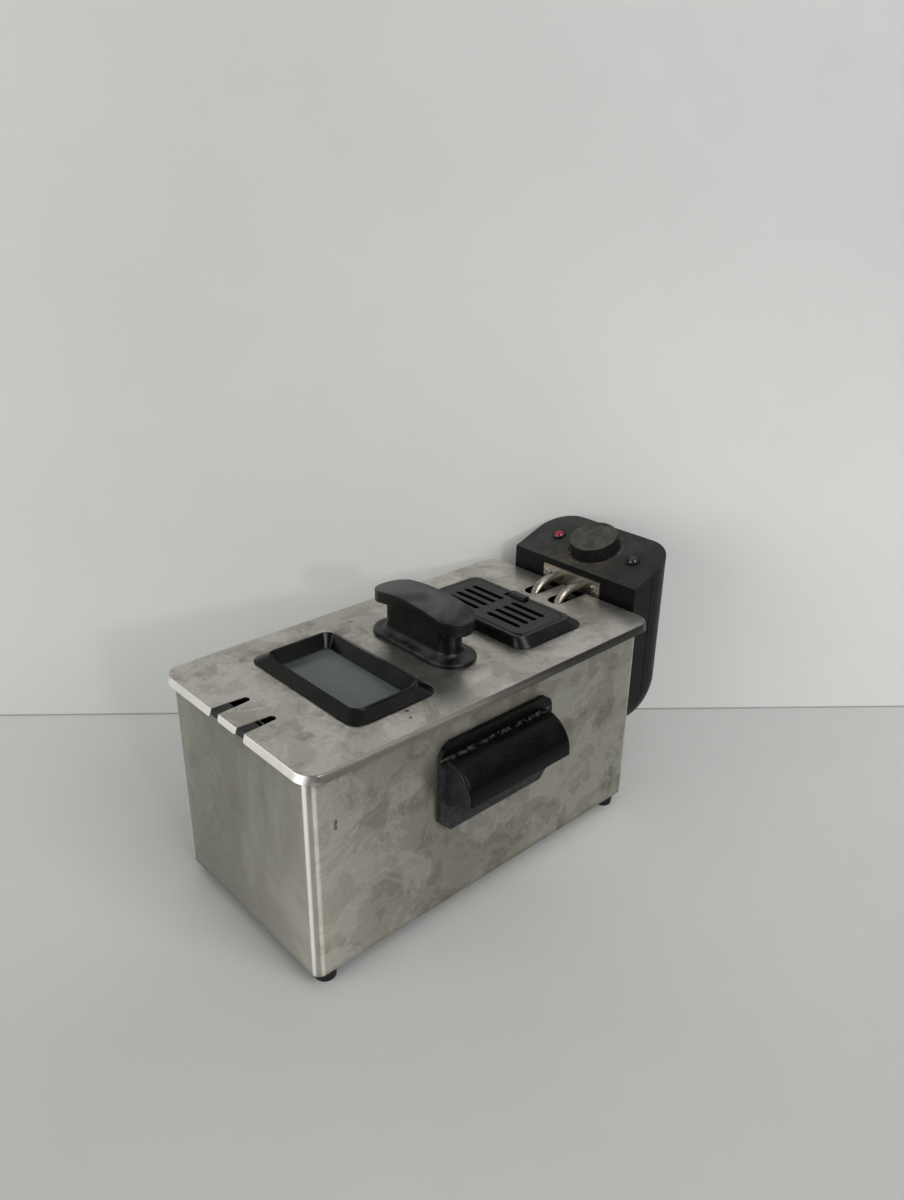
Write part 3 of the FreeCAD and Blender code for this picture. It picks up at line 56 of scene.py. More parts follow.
class Shader:
    """A new material with its node tree and small helpers to wire it."""

    def __init__(self, name):
        self.material = bpy.data.materials.new(name)
        self.material.use_nodes = True
        self.tree = self.material.node_tree
        self.tree.nodes.clear()
        self.output = self.add("ShaderNodeOutputMaterial")
        self.surface = self.add("ShaderNodeBsdfPrincipled")
        self.link(self.surface.outputs[0], self.output.inputs["Surface"])
        self.place = self.add("ShaderNodeTexCoord").outputs["Object"]

    def add(self, kind, **values):
        item = self.tree.nodes.new(kind)
        for key, value in values.items():
            setattr(item, key, value)
        return item

    def link(self, source, target):
        self.tree.links.new(source, target)

    def scaled(self, scale, shift=(0, 0, 0)):
        item = self.add("ShaderNodeMapping")
        item.inputs["Scale"].default_value = scale
        item.inputs["Location"].default_value = shift
        self.link(self.place, item.inputs["Vector"])
        return item.outputs["Vector"]

    def noise(self, scale, detail=4, rough=0.55, warp=0.0, stretch=(1, 1, 1), shift=(0, 0, 0)):
        item = self.add("ShaderNodeTexNoise")
        item.inputs["Scale"].default_value = scale
        item.inputs["Detail"].default_value = detail
        item.inputs["Roughness"].default_value = rough
        item.inputs["Distortion"].default_value = warp
        self.link(self.scaled(stretch, shift), item.inputs["Vector"])
        return item.outputs["Fac"]

    def ramp(self, factor, low, high, bottom=0.0, top=1.0):
        """Smooth step from bottom to top while the factor runs from low to high."""
        item = self.add("ShaderNodeMapRange", interpolation_type="SMOOTHSTEP")
        item.inputs["From Min"].default_value = low
        item.inputs["From Max"].default_value = high
        item.inputs["To Min"].default_value = bottom
        item.inputs["To Max"].default_value = top
        self.link(factor, item.inputs["Value"])
        return item.outputs["Result"]

    def math(self, operation, first, second=None):
        item = self.add("ShaderNodeMath", operation=operation)
        for socket, value in zip(item.inputs, (first, second)):
            if value is None:
                continue
            if isinstance(value, (int, float)):
                socket.default_value = value
            else:
                self.link(value, socket)
        return item.outputs[0]

    def mix(self, factor, first, second):
        """Blend of two colours; the numbered sockets are those of the colour mode."""
        item = self.add("ShaderNodeMix", data_type="RGBA")
        sockets = (item.inputs[0], item.inputs[6], item.inputs[7])
        for socket, value in zip(sockets, (factor, first, second)):
            if isinstance(value, (int, float)):
                socket.default_value = value
            elif isinstance(value, (tuple, list)):
                socket.default_value = (*value, 1.0)
            else:
                self.link(value, socket)
        return item.outputs[2]

    def axis(self, name):
        """One coordinate of the place on the part."""
        item = self.add("ShaderNodeSeparateXYZ")
        self.link(self.place, item.inputs[0])
        return item.outputs[name]

    def normal(self, name):
        """One component of the way the surface faces."""
        item = self.add("ShaderNodeSeparateXYZ")
        self.link(self.add("ShaderNodeNewGeometry").outputs["Normal"], item.inputs[0])
        return item.outputs[name]

    def band(self, value, low, high, soft):
        """One inside low..high, falling to zero over the soft edge."""
        rising = self.ramp(value, low - soft, low)
        falling = self.ramp(value, high, high + soft, 1.0, 0.0)
        return self.math("MULTIPLY", rising, falling)

    def times(self, *factors):
        """Product of several factors."""
        result = factors[0]
        for factor in factors[1:]:
            result = self.math("MULTIPLY", result, factor)
        return result

    def spot(self, across, along, place, radius, ragged):
        """A round mark with a ragged edge about a place on two axes."""
        dx = self.math("SUBTRACT", across, place[0])
        dy = self.math("SUBTRACT", along, place[1])
        square = self.math("ADD", self.math("MULTIPLY", dx, dx), self.math("MULTIPLY", dy, dy))
        reach = self.math("ADD", self.math("SQRT", square), self.math("MULTIPLY", ragged, radius))
        return self.ramp(reach, radius * 0.9, radius * 1.4, 1.0, 0.0)

    def bump(self, height, strength, distance):
        item = self.add("ShaderNodeBump")
        item.inputs["Strength"].default_value = strength
        item.inputs["Distance"].default_value = distance
        self.link(height, item.inputs["Height"])
        self.link(item.outputs["Normal"], self.surface.inputs["Normal"])

    def brushed(self, axis, strength):
        """Stretch the gloss across brush lines that run round the axis."""
        item = self.add("ShaderNodeTangent", direction_type="RADIAL", axis=axis)
        self.link(item.outputs[0], self.surface.inputs["Tangent"])
        self.fixed(Anisotropic=strength, Anisotropic_Rotation=0.25)

    def colour(self, value):
        self.link(value, self.surface.inputs["Base Color"])

    def rough(self, value):
        self.link(value, self.surface.inputs["Roughness"])

    def fixed(self, **values):
        for key, value in values.items():
            self.surface.inputs[key.replace("_", " ")].default_value = value


def srgb(r, g, b):
    """Linear colour of an 8-bit screen colour."""
    def channel(c):
        c = c / 255
        return c / 12.92 if c <= 0.04045 else ((c + 0.055) / 1.055) ** 2.4
    return channel(r), channel(g), channel(b)


# Materials

def steel(name, light, dark, lines, around, stain=0.5, rough=0.28, stretch=0.6, grime_and_light=None):
    """Brushed sheet: fine lines round an axis, wandering stains, small strokes and flecks."""
    s = Shader(name)
    haze = s.ramp(s.noise(5, 3, 0.5, 0.4), 0.3, 0.7)
    puddle = s.ramp(s.noise(15, 10, 0.64, 0.8), 0.48, 0.53)
    island = s.ramp(s.noise(38, 9, 0.68, 0.6, shift=(3, 1, 7)), 0.5, 0.56)
    stroke = s.ramp(s.noise(170, 6, 0.72, 0.9, shift=(5, 2, 4)), 0.42, 0.66)
    pale = s.ramp(s.noise(110, 8, 0.74, 1.2, shift=(7, 3, 2)), 0.56, 0.66)
    fleck = s.ramp(s.noise(260, 5, 0.7, 0.3, shift=(1, 8, 2)), 0.66, 0.74)
    overlay = s.math("ADD", s.math("MULTIPLY", puddle, 0.55), s.math("MULTIPLY", island, 0.45))
    overlay = s.math("MULTIPLY", overlay, stain)
    tone = s.mix(s.math("MULTIPLY", haze, 0.4), light, tuple(0.84 * c for c in light))
    tone = s.mix(overlay, tone, dark)
    tone = s.mix(s.math("MULTIPLY", stroke, 0.2), tone, tuple(0.8 * c for c in dark))
    tone = s.mix(s.math("MULTIPLY", pale, 0.3), tone, tuple(min(1.0, 1.15 * c) for c in light))
    tone = s.mix(s.math("MULTIPLY", fleck, 0.35), tone, srgb(92, 80, 62))
    brush = s.noise(1, 3, 0.6, 0.0, stretch=lines)
    tone = s.mix(s.ramp(brush, 0.3, 0.7, 0.0, 0.16), tone, tuple(0.7 * c for c in light))
    if grime_and_light is not None:
        tone = grime_and_light(s, tone)
    s.colour(tone)
    lined = s.ramp(brush, 0.2, 0.8, rough - 0.04, rough + 0.06)
    s.rough(s.math("ADD", s.math("MULTIPLY", overlay, 0.1), lined))
    wave = s.noise(7, 2, 0.4)
    height = s.math("ADD", s.math("MULTIPLY", wave, 0.3), s.math("MULTIPLY", brush, 0.016))
    s.bump(height, 1.0, 0.001)
    s.brushed(around, stretch)
    s.fixed(Metallic=0.94)
    return s.material


def plastic(name, base, dust, amount=0.2, rough=0.4, grain=900, bump=0.2, gloss=0.4, speck=0.12,
            patch=22, even=0.0, extra=None):
    """Moulded plastic with a fine texture, pale specks and a thin layer of dust and grease."""
    s = Shader(name)
    cloud = s.noise(patch, 6, 0.6, 0.6)
    fine = s.noise(grain, 2, 0.5)
    grit = s.ramp(s.noise(480, 3, 0.6, shift=(2, 5, 1)), 0.62, 0.7)
    upward = s.ramp(s.normal("Z"), 0.2, 0.95)
    overlay = s.math("MULTIPLY", s.ramp(cloud, 0.38, 0.68, even, 1.0),
                  s.ramp(upward, 0.0, 1.0, 0.05, 1.0))
    tone = s.mix(s.math("MULTIPLY", overlay, amount), base, dust)
    tone = s.mix(s.math("MULTIPLY", grit, speck), tone, dust)
    if extra is not None:
        tone = extra(s, tone)
    s.colour(tone)
    grained = s.ramp(fine, 0.2, 0.8, rough - 0.05, rough + 0.07)
    s.rough(s.math("ADD", s.math("MULTIPLY", overlay, 0.14), grained))
    s.bump(fine, bump, 0.0002)
    s.fixed(Specular_IOR_Level=gloss)
    return s.material


# Centre and radius of marks on the lid top
CRUMBS = (((0.0716, -0.1085), 0.0022), ((0.0799, -0.1123), 0.0017))
DROPS = (((0.0511, -0.1811), 0.0085), ((-0.0702, -0.1548), 0.005), ((-0.0702, -0.0515), 0.005),
         ((-0.088, -0.079), 0.006))


def lid_grime_and_light(s, tone):
    """Grease round the fittings on the lid, crumbs, old drops, a painted reflection that darkens
    the skirt sides towards the rear, a painted highlight on the front edge.
    """
    brown, drop, crumb = srgb(96, 88, 74), srgb(112, 108, 98), srgb(46, 30, 22)
    across, y = s.axis("X"), s.axis("Y")
    x = s.math("ABSOLUTE", across)
    ragged = s.ramp(s.noise(42, 7, 0.68, 0.8), 0.38, 0.66)
    under, reach_x, reach_y = 0.002, 0.02, 0.022
    for node in ("window_frame", "lid_handle", "filter_housing"):
        low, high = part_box(node)
        near = s.math("MULTIPLY", s.band(x, 0.0, high[0] - under, reach_x),
                      s.band(y, low[1] + under, high[1] - under, reach_y))
        tone = s.mix(s.times(near, ragged, 0.6), tone, brown)
    edge = s.noise(420, 3, 0.6)
    for place, radius in CRUMBS:
        tone = s.mix(s.times(s.spot(across, y, place, radius, edge), 0.9), tone, crumb)
    rim = s.noise(90, 5, 0.6)
    for place, radius in DROPS:
        tone = s.mix(s.times(s.spot(across, y, place, radius, rim), ragged, 0.7), tone, drop)
    # painted reflection: the sides of the skirt are painted pale at the front and dark towards the
    # rear
    skirt_reflection_mask = s.ramp(s.math("ABSOLUTE", s.normal("X")), 0.12, 0.4)
    fade_start, fade_end = -0.09, 0.05
    overlay = s.mix(s.ramp(y, fade_start, fade_end), srgb(150, 147, 139), srgb(64, 62, 58))
    tone = s.mix(s.math("MULTIPLY", skirt_reflection_mask, 0.92), tone, overlay)
    # painted highlight: the front-facing skirt is painted near white
    front_highlight_mask = s.ramp(s.math("MULTIPLY", s.normal("Y"), -1.0), 0.35, 0.8)
    return s.mix(s.math("MULTIPLY", front_highlight_mask, 0.9), tone, srgb(216, 214, 209))


def casing_grime_and_light(s, tone):
    """Plain front end with pale wash marks, a painted highlight on the bends, one rusty run, darker
    bottom edge.
    """
    front = s.ramp(s.math("MULTIPLY", s.normal("Y"), -1.0), 0.6, 0.95)
    wash = s.ramp(s.noise(7, 6, 0.6, 0.5, stretch=(2.4, 1, 1)), 0.45, 0.66)
    plain = s.mix(s.math("MULTIPLY", wash, 0.8), srgb(143, 141, 134), srgb(168, 166, 158))
    tone = s.mix(s.math("MULTIPLY", front, 0.82), tone, plain)
    # painted highlight: the rounded corners, picked out by how they face, are painted near white
    bend_highlight_mask = s.math("MINIMUM", s.ramp(s.math("ABSOLUTE", s.normal("X")), 0.08, 0.24),
                  s.ramp(s.math("ABSOLUTE", s.normal("Y")), 0.45, 0.75))
    tone = s.mix(s.math("MULTIPLY", bend_highlight_mask, 0.85), tone, srgb(222, 220, 214))
    y, z = s.axis("Y"), s.axis("Z")
    run_y, run_z = (-0.1862, -0.1848), (0.1325, 0.1385)
    run = s.math("MULTIPLY", s.band(y, *run_y, 0.0012), s.band(z, *run_z, 0.002))
    side = s.ramp(s.normal("X"), 0.7, 0.9)
    broken = s.ramp(s.noise(350, 4, 0.6), 0.3, 0.55)
    tone = s.mix(s.times(run, side, broken, 0.85), tone, srgb(88, 30, 20))
    # darker towards the bottom edge
    dark_below, fade_above = 0.0105, 0.018
    foot = s.ramp(z, dark_below, fade_above, 1.0, 0.0)
    return s.mix(s.math("MULTIPLY", foot, 0.3), tone, srgb(84, 78, 66))


def plate_dust_and_light(s, tone):
    """Matt dust on the plate of a side handle, painted light on its cheeks mixed with the same
    dust, a worn line at the root of its hood.
    """
    x, z = s.math("ABSOLUTE", s.axis("X")), s.axis("Z")
    plate_x, hood_z = (0.0936, 0.0942), (0.138, 0.146)
    plate = s.math("MULTIPLY", s.ramp(x, *plate_x, 1.0, 0.0), s.ramp(z, *hood_z, 1.0, 0.0))
    # painted light: the cheeks facing front and back are painted a paler slate grey, broken by dust
    # patches
    cheek_light_mask = s.ramp(s.math("ABSOLUTE", s.normal("Y")), 0.7, 0.95)
    patch = s.ramp(s.noise(150, 6, 0.65, 0.4), 0.3, 0.7, 0.35, 0.85)
    tone = s.mix(s.times(s.math("MAXIMUM", plate, cheek_light_mask), patch), tone, srgb(58, 61, 62))
    root_z, root_x = (0.1464, 0.1478), (0.0925, 0.0955)
    root = s.math("MULTIPLY", s.band(z, *root_z, 0.0008), s.band(x, *root_x, 0.001))
    worn = s.ramp(s.noise(240, 6, 0.7, 0.5), 0.48, 0.6)
    return s.mix(s.times(root, worn, 0.25), tone, srgb(140, 137, 128))


def panel_grease(s, tone):
    """Brownish grease in front of the knob, darker right side, worn edge of the dial recess."""
    x, y = s.math("ABSOLUTE", s.axis("X")), s.axis("Y")
    smear_x, smear_y, dark_x = (0.0, 0.022), (0.152, 0.166), (0.01, 0.06)
    # Middle of the dial, length along the slope per step in Y, edge of the recess
    knob_y, per_slope, ring_radius = 0.181, 1.061, (0.0257, 0.0264)
    smear = s.math("MULTIPLY", s.band(x, *smear_x, 0.016), s.band(y, *smear_y, 0.01))
    ragged = s.ramp(s.noise(60, 6, 0.65, 0.6), 0.35, 0.65)
    upward = s.ramp(s.normal("Z"), 0.3, 0.8)
    tone = s.mix(s.times(smear, ragged, upward, 0.5), tone, srgb(84, 74, 58))
    tone = s.mix(s.ramp(s.axis("X"), *dark_x, 0.0, 0.45), tone, srgb(7, 8, 8))
    ahead = s.math("MULTIPLY", s.math("SUBTRACT", y, knob_y), per_slope)
    square = s.math("ADD", s.math("MULTIPLY", x, x), s.math("MULTIPLY", ahead, ahead))
    ring = s.band(s.math("SQRT", square), *ring_radius, 0.0004)
    worn = s.ramp(s.noise(130, 5, 0.65), 0.36, 0.6)
    return s.mix(s.times(ring, worn, upward, 0.6), tone, srgb(126, 124, 118))


def glass(name):
    """Hazy window glass over the dark inside."""
    s = Shader(name)
    haze = s.ramp(s.noise(12, 6, 0.6, 0.5), 0.35, 0.7)
    dust = s.ramp(s.noise(600, 3, 0.6), 0.64, 0.72)
    tone = s.mix(haze, srgb(64, 72, 71), srgb(74, 81, 79))
    s.colour(s.mix(s.math("MULTIPLY", dust, 0.25), tone, srgb(150, 152, 148)))
    s.rough(s.ramp(haze, 0.0, 1.0, 0.14, 0.26))
    s.fixed(Specular_IOR_Level=0.5)
    return s.material


def metal(name, light, dark, scale, rough):
    """Plain metal with a patchy tarnish."""
    s = Shader(name)
    patch = s.ramp(s.noise(scale, 6, 0.62, 0.8), 0.36, 0.66)
    s.colour(s.mix(patch, light, dark))
    s.rough(s.ramp(patch, 0.0, 1.0, rough - 0.06, rough + 0.14))
    s.bump(s.noise(scale * 14, 3, 0.5), 0.1, 0.0001)
    s.fixed(Metallic=1.0)
    return s.material


def enamel(name):
    """Black enamel with pale flecks."""
    s = Shader(name)
    fleck = s.ramp(s.noise(900, 2, 0.5), 0.66, 0.72)
    s.colour(s.mix(s.math("MULTIPLY", fleck, 0.3), srgb(9, 9, 10), srgb(80, 80, 82)))
    s.rough(s.ramp(s.noise(30, 5, 0.6), 0.3, 0.7, 0.26, 0.44))
    s.fixed(Specular_IOR_Level=0.3)
    return s.material


def lens(name, deep, front_highlight_mask):
    """Moulded lamp lens."""
    s = Shader(name)
    facet = s.ramp(s.noise(500, 2, 0.5), 0.3, 0.7)
    s.colour(s.mix(facet, deep, front_highlight_mask))
    s.rough(s.ramp(s.noise(90, 4, 0.6), 0.3, 0.7, 0.1, 0.22))
    s.fixed(Transmission_Weight=0.2, IOR=1.49)
    return s.material


def felt(name):
    """Grey fibres of the filter pad."""
    s = Shader(name)
    fibre = s.noise(700, 5, 0.7, 2.0)
    s.colour(s.mix(s.ramp(fibre, 0.3, 0.7), srgb(38, 36, 32), srgb(86, 80, 70)))
    s.rough(s.ramp(fibre, 0.2, 0.8, 0.85, 0.98))
    s.bump(fibre, 0.6, 0.0008)
    return s.material


def rubber(name):
    """Dusty black rubber."""
    s = Shader(name)
    dust = s.ramp(s.noise(120, 5, 0.6), 0.4, 0.7)
    s.colour(s.mix(s.math("MULTIPLY", dust, 0.3), srgb(16, 16, 16), srgb(70, 68, 64)))
    s.rough(s.ramp(dust, 0.0, 1.0, 0.55, 0.8))
    s.bump(s.noise(1500, 2, 0.5), 0.2, 0.0001)
    s.fixed(Specular_IOR_Level=0.3)
    return s.material


casing_steel = steel("casing_steel", srgb(202, 198, 187), srgb(152, 147, 134), (6, 6, 700), "Z",
                     stain=0.75, rough=0.4, stretch=0.97, grime_and_light=casing_grime_and_light)
lid_steel = steel("lid_steel", srgb(206, 202, 195), srgb(156, 150, 140), (700, 5, 5), "X",
                  stain=0.75, rough=0.3, stretch=0.6, grime_and_light=lid_grime_and_light)
plain_steel = steel("plain_steel", srgb(180, 178, 173), srgb(146, 142, 134), (6, 6, 600), "Z",
                    stain=0.4, rough=0.3)
handle_plastic = plastic("handle_plastic", srgb(6, 7, 8), srgb(98, 101, 101), amount=0.52,
                         rough=0.3, gloss=0.22)
side_plastic = plastic("side_plastic", srgb(6, 6, 6), srgb(60, 60, 58), amount=0.06, rough=0.24,
                       bump=0.06, gloss=0.13, speck=0.05, extra=plate_dust_and_light)
frame_plastic = plastic("frame_plastic", srgb(4, 4, 4), srgb(66, 62, 56), amount=0.06, rough=0.16,
                        grain=1200, bump=0.05, gloss=0.24)
box_plastic = plastic("box_plastic", srgb(5, 6, 6), srgb(98, 99, 95), amount=0.36, rough=0.46,
                      grain=1400, bump=0.5, gloss=0.16, speck=0.34, patch=60, even=0.6,
                      extra=panel_grease)
knob_plastic = plastic("knob_plastic", srgb(13, 13, 12), srgb(106, 102, 95), amount=0.46,
                       rough=0.45, gloss=0.26, speck=0.26, patch=90, even=0.4)
cover_plastic = plastic("cover_plastic", srgb(8, 9, 10), srgb(84, 85, 82), amount=0.1, rough=0.3,
                        gloss=0.29)
inner_plastic = plastic("inner_plastic", srgb(190, 186, 176), srgb(150, 142, 128), amount=0.4,
                        rough=0.5)
tube_metal = metal("tube_metal", srgb(170, 164, 152), srgb(112, 104, 91), scale=90, rough=0.4)
plate_metal = metal("plate_metal", srgb(200, 192, 180), srgb(150, 140, 126), scale=80, rough=0.36)
screw_metal = metal("screw_metal", srgb(214, 212, 208), srgb(168, 164, 156), scale=200, rough=0.22)
wire_metal = metal("wire_metal", srgb(206, 204, 198), srgb(150, 142, 124), scale=60, rough=0.24)
brass_metal = metal("brass_metal", srgb(214, 184, 112), srgb(170, 138, 76), scale=120, rough=0.28)

FINISH = {
    casing_steel: ["outer_casing"],
    lid_steel: ["lid_shell"],
    plain_steel: ["base_plate", "guide_rail_left", "guide_rail_right", "filter_tray"],
    enamel("pan_enamel"): ["oil_pan"],
    handle_plastic: ["lid_handle"],
    side_plastic: ["side_handle_right", "side_handle_left", "basket_handle_grip"],
    frame_plastic: ["window_frame", "window_retainer", "lamp_bezels"],
    box_plastic: ["control_front_shell", "control_rear_cover", "control_panel", "cord_gland"],
    knob_plastic: ["thermostat_knob"],
    cover_plastic: ["filter_housing", "filter_cover"],
    inner_plastic: ["terminal_block", "interlock_switch", "thermostat_body", "thermal_cutout",
                    "lamp_bodies"],
    tube_metal: ["heating_element", "sensor_bulb"],
    plate_metal: ["element_plate", "element_support"],
    screw_metal: ["foot_screws", "side_handle_screws", "guide_rail_rivets", "cover_screws",
                  "element_plate_screws", "lid_handle_screws", "window_screws"],
    wire_metal: ["basket_rim_wire", "basket_handle_bracket", "basket_hook", "basket_handle_wires"],
    brass_metal: ["thermostat_spindle"],
    glass("window_glass"): ["window_glass"],
    lens("red_lens", srgb(108, 7, 24), srgb(160, 20, 46)): ["red_lamp_lens", "reset_button"],
    lens("clear_lens", srgb(14, 15, 14), srgb(38, 40, 38)): ["clear_lamp_lens"],
    felt("filter_felt"): ["grease_filter"],
    rubber("black_rubber"): ["foot_front_left", "foot_front_right", "foot_rear_left",
                             "foot_rear_right", "window_gasket"],
}
for material, names in FINISH.items():
    for name in names:
        mesh = nodes[name].data
        mesh.materials.clear()
        mesh.materials.append(material)


# Basket wire cloth

def rounded_loop(half_width, front, rear, corner, step):
    """Points round a rectangle with rounded corners, about one step apart."""
    per_corner, turn = 4, 30
    centres = [(half_width - corner, front + corner, -90), (half_width - corner, rear - corner, 0),
               (corner - half_width, rear - corner, 90), (corner - half_width, front + corner, 180)]

    def on_corner(i, k):
        cx, cy, start = centres[i % len(centres)]
        angle = math.radians(start + turn * k)
        return Vector((cx + corner * math.cos(angle), cy + corner * math.sin(angle)))

    points = []
    for i in range(len(centres)):
        points += [on_corner(i, k) for k in range(per_corner)]
        target = on_corner(i + 1, 0)
        run = (target - points[-1]).length
        count = max(1, round(run / step))
        origin = points[-1].copy()
        points += [origin.lerp(target, k / count) for k in range(1, count)]
    return points


def basket_cloth():
    """Woven wire in the shape of the basket solid: four drafted walls and a floor."""
    low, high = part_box("basket_mesh")
    draft, step, corner = 4 * MM, 8 * MM, 15 * MM
    wire = 1.5 * MM
    inset = wire / 2
    half, front, rear = high[0] - draft - inset, low[1] + draft + inset, high[1] - draft - inset
    middle, floor, height = (low[1] + high[1]) / 2, low[2] + inset, high[2] - low[2] - wire
    rows = round((high[2] - low[2]) / step)
    bm = bmesh.new()
    rings = []
    for row in range(rows + 1):
        share = row / rows
        grow = draft * share
        ring = []
        for p in rounded_loop(half, front, rear, corner, step):
            sx = 1 if p.x > 0 else -1
            sy = 1 if p.y > middle else -1
            ring.append(bm.verts.new((p.x + grow * sx, p.y + grow * sy, floor + share * height)))
        rings.append(ring)
    for below, above in zip(rings, rings[1:]):
        for k in range(len(below)):
            nxt = (k + 1) % len(below)
            bm.faces.new((below[k], below[nxt], above[nxt], above[k]))
    width, length = 2 * half, rear - front
    columns, lines = round(width / step), round(length / step)
    grid = [[bm.verts.new((-half + width * i / columns, front + length * j / lines, floor))
             for i in range(columns + 1)] for j in range(lines + 1)]

    def inside(v):
        """Whether a point of the floor lies within its rounded corners."""
        slack = 1e-6
        dx = max(0.0, abs(v.co.x) - (half - corner))
        dy = max(0.0, abs(v.co.y - (front + rear) / 2) - (length / 2 - corner))
        return math.hypot(dx, dy) <= corner + slack

    for j in range(lines):
        for i in range(columns):
            quad = (grid[j][i], grid[j][i + 1], grid[j + 1][i + 1], grid[j + 1][i])
            if all(inside(v) for v in quad):
                bm.faces.new(quad)
    bmesh.ops.delete(bm, geom=[v for v in bm.verts if not v.link_faces], context="VERTS")
    mesh = bpy.data.meshes.new("basket_cloth")
    bm.to_mesh(mesh)
    bm.free()
    mesh.materials.append(wire_metal)
    cloth = bpy.data.objects.new("basket_cloth", mesh)
    scene.collection.objects.link(cloth)
    wires = cloth.modifiers.new("wires", "WIREFRAME")
    wires.thickness = wire
    wires.use_even_offset = False
    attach(cloth, "basket")
    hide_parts("basket_mesh")


# Dial print round the knob

def dial_marks():
    """Plain ticks printed in the dial recess round the knob, every second one longer."""
    joints = frame["record"]["behaviour"]["joints"]
    knob = next(joint for joint in joints if joint["name"] == "knob_turn")
    centre, normal = Vector(knob["pos_m"]), Vector(knob["axis"]).normalized()
    side = Vector((1, 0, 0))
    ahead = normal.cross(side)
    recess, lift, thick = 0.8 * MM, 0.03 * MM, 0.12 * MM
    floor = lift - recess
    bm = bmesh.new()

    def slab(points):
        base = [bm.verts.new(centre + side * x + ahead * y + normal * floor) for x, y in points]
        top = [bm.verts.new(v.co + normal * thick) for v in base]
        count = len(points)
        bm.faces.new(list(reversed(base)))
        bm.faces.new(top)
        for k in range(count):
            nxt = (k + 1) % count
            bm.faces.new((base[k], base[nxt], top[nxt], top[k]))

    inner, outer, width, short = 23.5 * MM, 25.5 * MM, 0.7 * MM, 1.2 * MM
    ticks, first, pitch = 11, 225, 27
    for k in range(ticks):
        angle = math.radians(first - pitch * k)
        along = Vector((math.cos(angle), math.sin(angle)))
        across = Vector((-along.y, along.x)) * width / 2
        reach = outer if k % 2 == 0 else outer - short
        near, far = along * inner, along * reach
        slab([tuple(near - across), tuple(far - across), tuple(far + across), tuple(near + across)])
    mesh = bpy.data.meshes.new("dial_marks")
    bm.to_mesh(mesh)
    bm.free()
    s = Shader("dial_print")
    worn = s.ramp(s.noise(300, 4, 0.6), 0.35, 0.65)
    s.colour(s.mix(worn, srgb(150, 148, 142), srgb(92, 90, 86)))
    s.rough(s.ramp(worn, 0.0, 1.0, 0.45, 0.6))
    mesh.materials.append(s.material)
    marks = bpy.data.objects.new("dial_marks", mesh)
    scene.collection.objects.link(marks)
    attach(marks, "control_unit")


basket_cloth()
dial_marks()


# Floor, wall, light and camera

WALL_POINT = Vector((-0.126, 0.120, 0.0))
WALL_FACES = Vector((0.764, -0.645, 0.0))
WALL_RUNS = Vector((0.645, 0.764, 0.0))


def plane(name, corners, paint_and_light):
    """A stage surface with the given paint and painted light, slightly clouded."""
    mesh = bpy.data.meshes.new(name)
    mesh.from_pydata([tuple(c) for c in corners], [], [(0, 1, 2, 3)])
    s = Shader(name)
    cloud = s.ramp(s.noise(3, 4, 0.5), 0.3, 0.7, 0.0, 0.05)
    s.colour(s.mix(cloud, paint_and_light(s), (0, 0, 0)))
    s.rough(s.ramp(s.noise(40, 4, 0.5), 0.3, 0.7, 0.5, 0.62))
    mesh.materials.append(s.material)
    item = bpy.data.objects.new(name, mesh)
    scene.collection.objects.link(item)
    return s


def wall_paint_and_light(s):
    """Paint with painted light, paler to the right and low down, with a dark joint at the floor."""
    z = s.axis("Z")
    # painted light: the wall is painted paler to the right and low down
    high = s.ramp(z, 0.1, 0.65)
    left = s.mix(high, srgb(199, 201, 198), srgb(193, 195, 192))
    right = s.mix(high, srgb(222, 224, 221), srgb(190, 192, 190))
    tone = s.mix(s.ramp(s.axis("X"), -0.4, 0.15), left, right)
    return s.mix(s.ramp(z, 0.0012, 0.0022, 0.6, 0.0), tone, srgb(90, 92, 90))


def floor_paint_and_light(s):
    """Paint with painted light that gets darker away from the wall."""
    # painted light: the floor is painted darker away from the wall
    away = s.math("SUBTRACT", s.math("MULTIPLY", s.axis("X"), WALL_FACES.x),
                  s.math("MULTIPLY", s.axis("Y"), -WALL_FACES.y))
    return s.mix(s.ramp(away, -0.1, 0.33), srgb(200, 202, 199), srgb(182, 184, 181))


def open_back(s):
    """Let the camera look through the back of the wall, so that the part shows from behind."""
    behind = s.math("MULTIPLY", s.add("ShaderNodeNewGeometry").outputs["Backfacing"],
                    s.add("ShaderNodeLightPath").outputs["Is Camera Ray"])
    blend = s.add("ShaderNodeMixShader")
    s.link(behind, blend.inputs[0])
    s.link(s.surface.outputs[0], blend.inputs[1])
    s.link(s.add("ShaderNodeBsdfTransparent").outputs[0], blend.inputs[2])
    s.link(blend.outputs[0], s.output.inputs["Surface"])


def room():
    """Wall and floor of the stage."""
    clear, half_width, depth, height = 0.0075, 3, 4, 2.4
    foot = WALL_POINT - WALL_FACES * clear
    left, right = foot - WALL_RUNS * half_width, foot + WALL_RUNS * half_width
    up, ahead = Vector((0, 0, height)), WALL_FACES * depth
    wall = plane("wall", [left, right, right + up, left + up], wall_paint_and_light)
    open_back(wall)
    plane("floor", [left, left + ahead, right + ahead, right], floor_paint_and_light)


def direction(azimuth, elevation):
    """Unit vector from the part; the azimuth runs from the front towards the right side."""
    level = math.cos(elevation)
    return Vector((math.sin(azimuth) * level, -math.cos(azimuth) * level, math.sin(elevation)))


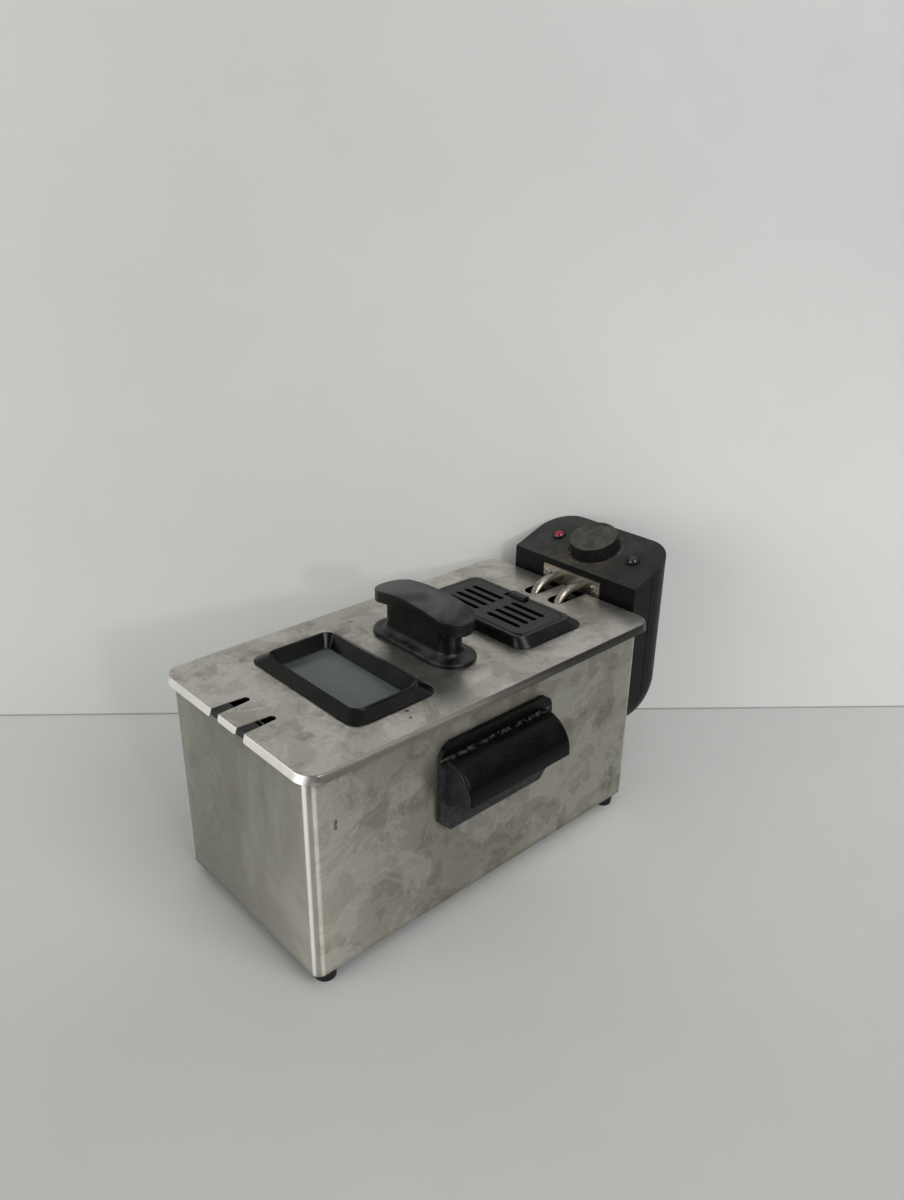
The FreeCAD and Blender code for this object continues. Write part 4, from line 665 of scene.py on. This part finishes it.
def area_light(name, azimuth, elevation, distance, size, power, colour):
    """Rectangle light aimed at the part; angles in degrees."""
    target = Vector((0, 0, 0.1))
    way = direction(math.radians(azimuth), math.radians(elevation))
    data = bpy.data.lights.new(name, "AREA")
    data.shape = "RECTANGLE"
    data.size, data.size_y = size
    data.energy = power
    data.color = colour
    item = bpy.data.objects.new(name, data)
    item.location = target + way * distance
    item.rotation_euler = (-way).to_track_quat("-Z", "Y").to_euler()
    scene.collection.objects.link(item)


def light():
    """Even surroundings and four area lights."""
    world = bpy.data.worlds.new("studio")
    scene.world = world
    world.use_nodes = True
    back = world.node_tree.nodes["Background"]
    back.inputs["Color"].default_value = (0.62, 0.64, 0.66, 1)
    back.inputs["Strength"].default_value = 0.24
    area_light("front_window", azimuth=-10, elevation=14, distance=1.9, size=(1.8, 1.3), power=21.5,
               colour=(1.0, 0.99, 0.97))
    area_light("right_lamp", azimuth=72, elevation=20, distance=1.9, size=(0.12, 0.12), power=4,
               colour=(1.0, 0.99, 0.98))
    area_light("right_window", azimuth=94, elevation=36, distance=2.0, size=(0.9, 1.1), power=15,
               colour=(1.0, 0.99, 0.98))
    area_light("ceiling", azimuth=78, elevation=60, distance=2.2, size=(1.6, 1.6), power=13,
               colour=(0.98, 0.99, 1.0))


def camera():
    """The fitted view of the photograph."""
    place = Vector((0.52028, -0.48437, 0.53690))
    azimuth, elevation, roll = (math.radians(a) for a in (47.05, 24.42, 0.87))
    back = direction(azimuth, elevation)
    right = (-back).cross(Vector((0, 0, 1))).normalized()
    up = right.cross(-back).normalized()
    tilted_right = right * math.cos(roll) + up * math.sin(roll)
    tilted_up = up * math.cos(roll) - right * math.sin(roll)
    data = bpy.data.cameras.new("camera")
    data.sensor_fit = "VERTICAL"
    data.sensor_height = 36
    data.lens = 28.81
    data.clip_start = 0.01
    item = bpy.data.objects.new("camera", data)
    turn = Matrix((tilted_right, tilted_up, back)).transposed()
    item.matrix_world = Matrix.Translation(place) @ turn.to_4x4()
    scene.collection.objects.link(item)
    scene.camera = item


room()
light()
camera()
